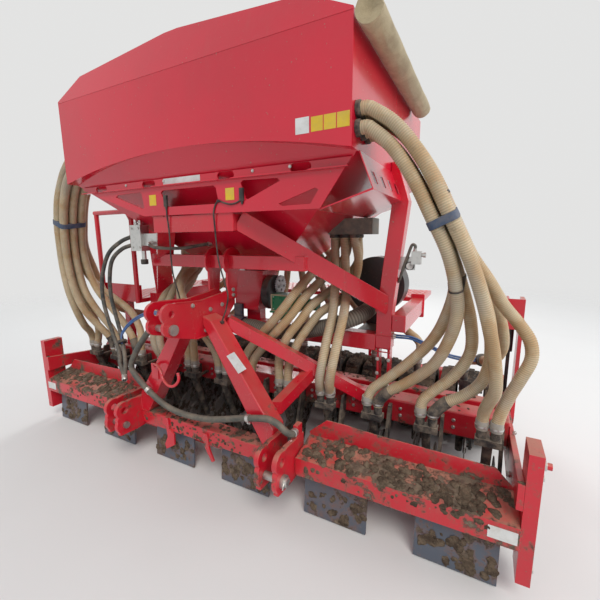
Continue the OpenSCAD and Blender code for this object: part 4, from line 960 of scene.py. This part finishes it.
# %% Rolled cover
AROUND, LENGTHWISE = 72, 90
WRAP_STEP, FOLD_DEPTH, SAG_DEPTH = 0.0045, 0.0035, 0.0025
ROLL_SLACK, END_DISH = 0.0072, 0.25
low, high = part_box("cover_roll")
roll_x, roll_z = (low[0] + high[0]) / 2, (low[2] + high[2]) / 2
roll_r = (high[0] - low[0]) / 2
rings = []
for j in range(LENGTHWISE + 1):
    y = low[1] + (high[1] - low[1]) * j / LENGTHWISE
    ring = []
    for k in range(AROUND):
        t = 2 * math.pi * k / AROUND
        wrap = WRAP_STEP * (t / (2 * math.pi))
        fold = FOLD_DEPTH * noise.noise(Vector((math.cos(t) * 1.6, math.sin(t) * 1.6, y * 7)))
        sag = SAG_DEPTH * noise.noise(Vector((0.3, y * 2.3, math.sin(t))))
        r = roll_r - ROLL_SLACK + wrap - abs(fold) + sag
        ring.append(Vector((roll_x + r * math.cos(t), y, roll_z + r * math.sin(t))))
    rings.append(ring)
for inset in (0.004, 0.010, 0.018, 0.030):
    for end, inward in ((0, 1), (-1, -1)):
        k = 1 - inset / roll_r
        y = rings[end][0].y + inward * inset * END_DISH
        ring = [Vector((roll_x + (p.x - roll_x) * k, y, roll_z + (p.z - roll_z) * k)) for p in rings[end]]
        rings.insert(0 if end == 0 else len(rings), ring)
form = Form()
form.solid(rings)
cover = form.make("rolled_cover", cloth_cover, smooth=60, slot="cover_fabric", hides=["cover_roll"])

# %% [markdown]
# Plates and stickers carry no writing. They keep the places and the colours of the real ones, because a bare
# rectangle of white or yellow is part of how such a machine looks. Each is a real thin plate with an edge.

# %% Blank plates
HOPPER_FACE, SKIRT_FACE, BEAM_FACE = -60.2, 6.6, -5.9


def plate(form, x, z, width, height, face, thick):
    """An upright plate on a front face, from its lower left corner."""
    corners = ((x, z + height), (x + width, z + height), (x + width, z), (x, z))
    slab(form, [at(a, face, c) for a, c in corners], FRONT, thick)


white, yellow = Form(), Form()
plate(white, -155, 1546, 240, 27, 7.2, 1.2)
plate(white, 622, 1655, 56, 56, HOPPER_FACE, 0.6)
for x in (686, 736, 786):
    plate(yellow, x, 1657, 46, 50, HOPPER_FACE, 0.6)
for x in (-262, 230):
    plate(yellow, x, 1450, 48, 52, SKIRT_FACE, 1.0)
for x in (1352, -1452):
    plate(white, x, 232, 92, 48, BEAM_FACE, 1.4)
leg_plate = ((200, 722), (247, 750), (316, 676), (268, 644))
slab(white, [at(x, -0.5, z) for x, z in leg_plate], FRONT, 1.2)
white.make("blank_plates", plate_white, slot="white_plastic")
yellow.make("blank_yellow_plates", plate_yellow, slot="white_plastic")

# %% [markdown]
# Bolts tell the eye how big the machine is. They are listed by the face they sit on: a place and the
# direction the head looks. One hexagon head on a washer in a few sizes is enough at this distance.

# %% Bolts and nuts
END_FACE, ARM_FACE, COULTER_PITCH = 1495.2, 1427.6, 250
bolts = Form()
for side in (-1, 1):
    out = RIGHT * side
    for y, z in ((40, 120), (80, 180), (40, 480), (80, 330)):
        bolt(bolts, at(side * END_FACE, y, z), out, 12)
    for y, z in ((1130, 600), (1080, 700)):
        bolt(bolts, at(side * END_FACE, y, z), out, 11)
    for x in (800, 860):
        for z in (500, 560, 640):
            bolt(bolts, at(side * x, 514.6, z), FRONT, 9)
    for y in (300, 520, 900, 1250):
        bolt(bolts, at(side * ARM_FACE, y, 300), -out, 12)
for i in range(12):
    x = (i - 5.5) * COULTER_PITCH + 72
    for z in (384, 420):
        bolt(bolts, at(x, 439.6, z), FRONT, 8)
for x in (-430, -150, 380, 560):
    bolt(bolts, at(x, 6.8, 1562), FRONT, 6)
for z in (1010, 980):
    for side in (-1, 1):
        bolt(bolts, at(side * 70.3, 230, z), RIGHT * side, 10)
for side in (-1, 1):
    for y, z in ((-60, 968), (60, 930), (150, 940), (20, 830)):
        bolt(bolts, at(side * 56.3, y, z), RIGHT * side, 10)
bolts.make("bolt_heads", zinc, smooth=30, slot="bare_steel")

# %% [markdown]
# The lower hitch pins end in a collar with a pull ring, and the end plates are held by one large nut each.
# These ends are what catches the light at both corners of the front, so they get their own small lathe forms.

# %% Pin ends and pull rings
PIN_END, RING_RADIUS = 597.5, 30
bits = Form()
for side in (-1, 1):
    x = side * PIN_END
    turned_piece(bits, at(x, -112, 250), RIGHT * side, [(-12, 21), (-2, 21), (0, 18)], 24)
    half_turn = [math.pi * k / 10 for k in range(11)]
    sweep(bits, [at(x - side * 9, -112 + RING_RADIUS * math.cos(t), 232 + RING_RADIUS * math.sin(t))
                 for t in half_turn], 3.5, 8)
for side in (-1, 1):
    bolt(bits, at(side * END_FACE, 60, 516), RIGHT * side, 20)
bits.make("pin_ends", zinc, smooth=40, slot="bare_steel")

# %% [markdown]
# The small welded pieces on the front are cut plate and bent bar: a hook for the hoses on the left leg, two
# pointed tongues that hang from the beam in front of the boards, and clips that hold the conduit to both
# legs. A bar is a sweep along its bend and a tongue is its outline with a thickness.

# %% Hook, tongues and clips
HOOK = [(-304, -8, 588), (-290, -22, 603), (-258, -32, 606), (-222, -42, 584), (-197, -50, 545),
        (-150, -58, 523), (-106, -58, 532), (-82, -50, 564), (-94, -42, 598)]
TONGUES = [
    ((-262, 292), (-236, 292), (-230, 226), (-196, 206), (-196, 141), (-262, 98), (-274, 124), (-246, 178),
     (-254, 228)),
    ((16, 272), (52, 272), (62, 188), (90, 128), (74, 120), (34, 186)),
]
hooks = Form()
block(hooks, (-338, -7, 512), (-288, -0.2, 600))
sweep(hooks, spline([at(*q) for q in HOOK], 6), 8.0, 12)
for outline in TONGUES:
    slab(hooks, [at(x, -0.4, z) for x, z in outline], FRONT, 9)
hooks.make("hook_and_tongues", frame_red, smooth=40, slot="red_paint")
clips = Form()
for x, y, z, stretch in ((-352, -29.6, 447.5, 8), (332, -22, 440, 15)):
    way = at(*CONDUIT[stretch + 1]) - at(*CONDUIT[stretch])
    turned_piece(clips, at(x, y, z), way, [(-9, 16.2), (-9, 19), (9, 19), (9, 16.2)], 24)
    block(clips, (x - 9, y - 1, z - 30), (x + 9, -0.3, z - 15))
    bolt(clips, at(x, y - 1.4, z - 22), FRONT, 6)
clips.make("conduit_clips", zinc, smooth=40, slot="bare_steel")

# %% [markdown]
# Welds run where plates meet tubes. A weld is a low ragged bead, so it is a thin sweep whose radius wobbles
# as it goes. The same seams are laid on the left and on the right.

# %% Weld beads
SEAMS = [
    ((790, 505, 775), (870, 505, 775)), ((790, 505, 685), (870, 505, 685)),
    ((788, 505, 960), (788, 505, 900)), ((402, 0, 292), (456, 0, 292)), ((456, 0, 292), (456, 0, 372)),
    ((1450, 0, 292), (1450, 0, 212)), ((1450, 0, 212), (1450, 90, 212)), ((56, -40, 800), (56, 60, 800)),
    ((56, 0, 984), (56, -160, 996)), ((547, 0, 292), (547, 90, 292)), ((1428, 440, 342), (1428, 440, 445)),
    ((260, 16, 1396), (180, 16, 1396)),
]
BEAD = 4.0
welds = Form()
for side in (-1, 1):
    for seam in SEAMS:
        places = evenly([at(x * side, y, z) for x, y, z in seam], 0.005)
        wobble = [BEAD * (0.85 + 0.3 * noise.noise(p * 160)) for p in places]
        sweep(welds, places, lambda i: wobble[i] * (0.9 if i % 2 else 1.05), 7)
welds.make("weld_beads", frame_red, smooth=60, slot="red_paint")

# %% [markdown]
# The walkway and the side step are trodden with muddy boots, so their sheet is pressed into rows of raised
# rings. Each is a low lathe form with a dished middle, and they stand in staggered rows inside the edges.

# %% Grip on the treads
TREAD_TOP, TREAD_PITCH = 850, 46
DIMPLE = [(-0.8, 15), (2.2, 11), (2.6, 9), (0.6, 6.5), (0.5, 2)]
grip = Form()


def tread(x0, x1, y0, y1):
    rows = int((y1 - y0) / (TREAD_PITCH * 0.87))
    count = int((x1 - x0) / TREAD_PITCH)
    for j in range(rows + 1):
        y = y0 + (y1 - y0) * j / rows
        for i in range(count + (j % 2 == 0)):
            x = x0 + (i + 0.5 * (j % 2)) * (x1 - x0) / count
            if x <= x1:
                turned_piece(grip, at(x, y, TREAD_TOP), UP, DIMPLE, 10)


low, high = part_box("rear_walkway")
tread(low[0] * 1000 + 35, high[0] * 1000 - 35, 1380, 1725)
low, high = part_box("side_step")
tread(low[0] * 1000 + 30, high[0] * 1000 - 30, 487, 1320)
grip.make("tread_grip", frame_red, smooth=40, slot="red_paint")

# %% [markdown]
# Behind the right post sits a small pressure gauge on its valve body, with a short hose back to the post, and
# the valve block on the left has screwed unions and a black knob. All are lathe forms on a plate, as the real
# ones are turned and bolted on, and the dial carries no figures.

# %% Gauge, unions and knob
GAUGE_HOSE = [(966, 531, 1226), (966, 531, 1240), (950, 532, 1243), (932, 530, 1190), (912, 528, 1125),
              (899, 532, 1080), (884, 548, 1055)]
UNION = [(0, 15), (3, 17), (10, 17), (12, 13.5), (30, 13.5), (31, 12.3)]
PORT = [(0, 11), (2, 13), (14, 13), (16, 8), (28, 8)]
metal, rim, dial, pipe, knob, unions = (Form() for k in range(6))
block(metal, (889, 540, 1120), (968, 547, 1186))
block(metal, (952, 516, 1150), (998, 546, 1214))
turned_piece(metal, at(998, 531, 1196), RIGHT, [(-1, 9), (8, 9), (8, 12), (20, 12)], 6)
turned_piece(metal, at(966, 531, 1213), UP, [(-1, 10), (8, 10), (8, 8), (18, 8)], 6)
look = Vector((0.38, -0.92, 0.06)).normalized()
gauge = at(944, 532, 1141)
turned_piece(rim, gauge, look, [(-20, 16), (-18, 20), (2, 21), (4, 21), (4, 18.5), (1, 18.5), (1, 2)], 32)
turned_piece(dial, gauge + look * 0.0008, look, [(0, 18.2), (1.2, 18.2), (1.4, 2)], 32)
turned_piece(metal, gauge - look * 0.019, -look, [(-2, 7), (14, 7)], 12)
sweep(pipe, spline([at(*q) for q in GAUGE_HOSE], 6), 7.5, 12)
metal.make("gauge_block", zinc, smooth=40, slot="zinc_steel")
rim.make("gauge_rim", black_paint, smooth=40, slot="black_steel")
dial.make("gauge_dial", plate_white, smooth=40, slot="white_plastic")
pipe.make("gauge_hose", hose_grey, smooth=60, slot="black_hose")
turned_piece(knob, at(-530, 160, 1165.5), -UP, [(0, 12), (1, 21), (26, 21), (30, 17)], 24)
knob.make("valve_knob", tie_black, smooth=40, slot="black_rubber")
for z in (1300, 1250):
    turned_piece(unions, at(-600.2, 160, z), LEFT, UNION, 6)
for x in (-580, -545):
    turned_piece(unions, at(x, 160, 1364.8), UP, PORT, 6)
for x, z in ((-585, 1345), (-525, 1345), (-585, 1235), (-525, 1235)):
    bolt(unions, at(x, 129.8, z), FRONT, 6)
unions.make("valve_unions", zinc, smooth=30, slot="zinc_steel")

# %% [markdown]
# The green control box sits in a pale tin frame. Its lid is a shallow pressing held by four screws, so the
# frame is four thin strips round the face and the screws are small domed heads.

# %% Frame and screws of the control box
low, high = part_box("control_box")
face = low[1] * 1000 + BACK_SHIFT + 8
strips, screws = Form(), Form()
for (x0, z0), (x1, z1) in (((180, 954), (320, 962)), ((180, 862), (188, 954)), ((312, 862), (320, 954)),
                           ((188, 862), (312, 868))):
    block(strips, (x0, face - 3, z0), (x1, face + 0.5, z1))
strips.make("control_box_frame", box_rim, smooth=30, slot="white_plastic")
for x in (196, 304):
    for z in (876, 946):
        turned_piece(screws, at(x, face + 0.2, z), FRONT, [(0, 4), (1.5, 3.6), (2.4, 1.5)], 16)
screws.make("control_box_screws", zinc, smooth=50, slot="bare_steel")

# %% [markdown]
# Caked soil is the strongest mark of use. Clods are small lumpy shells pressed flat on what they lie on,
# thrown by a seeded random generator over the wings, the beams and the boards, thickest near the ground.
# Lumps in real mesh catch the light far better than any bump on such a broad dark mass.

# %% Clods of soil
dice = random.Random(7)
shell = bmesh.new()
bmesh.ops.create_icosphere(shell, subdivisions=2, radius=1.0)
shell_points = [v.co.copy() for v in shell.verts]
shell_faces = [tuple(v.index for v in face.verts) for face in shell.faces]
shell.free()


def clod(form, place, way, size, flat):
    a, b = square_to(way)
    spin = dice.uniform(0, math.pi)
    a, b = a * math.cos(spin) + b * math.sin(spin), b * math.cos(spin) - a * math.sin(spin)
    stretch = dice.uniform(0.7, 1.5)
    seed = Vector((dice.uniform(-90, 90), dice.uniform(-90, 90), dice.uniform(-90, 90)))
    start = len(form.points)
    for p in shell_points:
        bulge = 1 + 0.55 * noise.noise(p * 1.7 + seed) + 0.25 * noise.noise(p * 4.5 + seed)
        q = p * bulge * size / 1000
        form.points.append(place + a * q.x * stretch + b * q.y + way * q.z * flat)
    form.faces.extend(tuple(start + i for i in face) for face in shell_faces)


def scatter(form, count, low, high, way, sizes, flat):
    """Throws count clods between two corners, nine of ten of them where a broad noise lets soil stick."""
    made = 0
    while made < count:
        place = at(*(dice.uniform(low[i], high[i]) for i in range(3)))
        if noise.noise(place * 5.5) < dice.uniform(-0.35, 0.3) and dice.random() < 0.9:
            continue
        clod(form, place, way, dice.uniform(*sizes) * dice.uniform(0.5, 1), flat)
        made += 1


wing_soil = Form()
slope = Vector((0, -0.24, 0.97)).normalized()
for side in (-1, 1):
    for k in range(330):
        x = dice.uniform(600, 1440) * side
        y = dice.uniform(4, 140)
        z = 298 + 40 * y / 150
        if noise.noise(Vector((x, y, 0)) / 90) > dice.uniform(-0.5, 0.35):
            clod(wing_soil, at(x, y, z), slope, dice.uniform(4, 20), 0.5)
    for k in range(110):
        x = dice.uniform(620, 1440) * side
        z = 225 + 70 * dice.random() ** 0.6
        if noise.noise(Vector((x, z, 40)) / 80) > dice.uniform(-0.2, 0.5):
            clod(wing_soil, at(x, -5.5, z), FRONT, dice.uniform(4, 14), 0.26)
wing_soil.make("soil_on_wings", soil, smooth=70, slot="cast_ring")

beam_soil = Form()
scatter(beam_soil, 90, (-400, 8, 293), (400, 84, 293), UP, (4, 14), 0.5)
scatter(beam_soil, 60, (-440, -1, 215), (440, -1, 290), FRONT, (4, 12), 0.25)
scatter(beam_soil, 60, (-1400, 450, 463), (1400, 550, 463), UP, (4, 12), 0.45)
scatter(beam_soil, 120, (-1400, 665, 441), (1400, 735, 441), UP, (4, 13), 0.5)
for side in (-1, 1):
    scatter(beam_soil, 30, (side * 1429, 10, 463), (side * 1449, 10, 463), UP, (3, 8), 0.5)
beam_soil.make("soil_on_beams", soil, smooth=70, slot="cast_ring")

BOARD_PITCH, BOARD_LEAN = 500, 0.0875
board_soil = Form()
lean = Vector((0, -1, 0.09)).normalized()
for i in range(6):
    middle = (i - 2.5) * BOARD_PITCH
    for k in range(64):
        x = middle + dice.uniform(-144, 144)
        z = 24 + 108 * dice.random() ** 0.8
        if noise.noise(Vector((x, z, 9)) / 70) > dice.uniform(-0.5, 0.4):
            clod(board_soil, at(x, 29.5 + (z - 4) * BOARD_LEAN, z), lean, dice.uniform(5, 19), 0.3)
board_soil.make("soil_on_boards", soil, body="boards", smooth=70, slot="cast_ring")

# %% [markdown]
# The packer carries its soil between the lugs, where each turn presses it down. These clods ride on the
# packer itself and stay lower than the lugs' tips, so they turn with it and touch nothing.

# %% Soil between the packer's lugs
RING_COUNT, RING_PITCH, CLODS_A_RING = 23, 125, 16
PACKER_Y, PACKER_Z, ROOT_RADIUS = 1100, 225, 204
packer_soil = Form()
for i in range(RING_COUNT):
    for k in range(CLODS_A_RING):
        t = dice.uniform(0, 2 * math.pi)
        way = Vector((0, math.cos(t), math.sin(t)))
        x = (i - (RING_COUNT - 1) / 2) * RING_PITCH + dice.uniform(-20, 20)
        place = at(x, PACKER_Y + ROOT_RADIUS * math.cos(t), PACKER_Z + ROOT_RADIUS * math.sin(t))
        clod(packer_soil, place, way, dice.uniform(9, 16), 0.6)
packer_soil.make("soil_on_packer", soil, body="packer", smooth=70, slot="cast_ring")
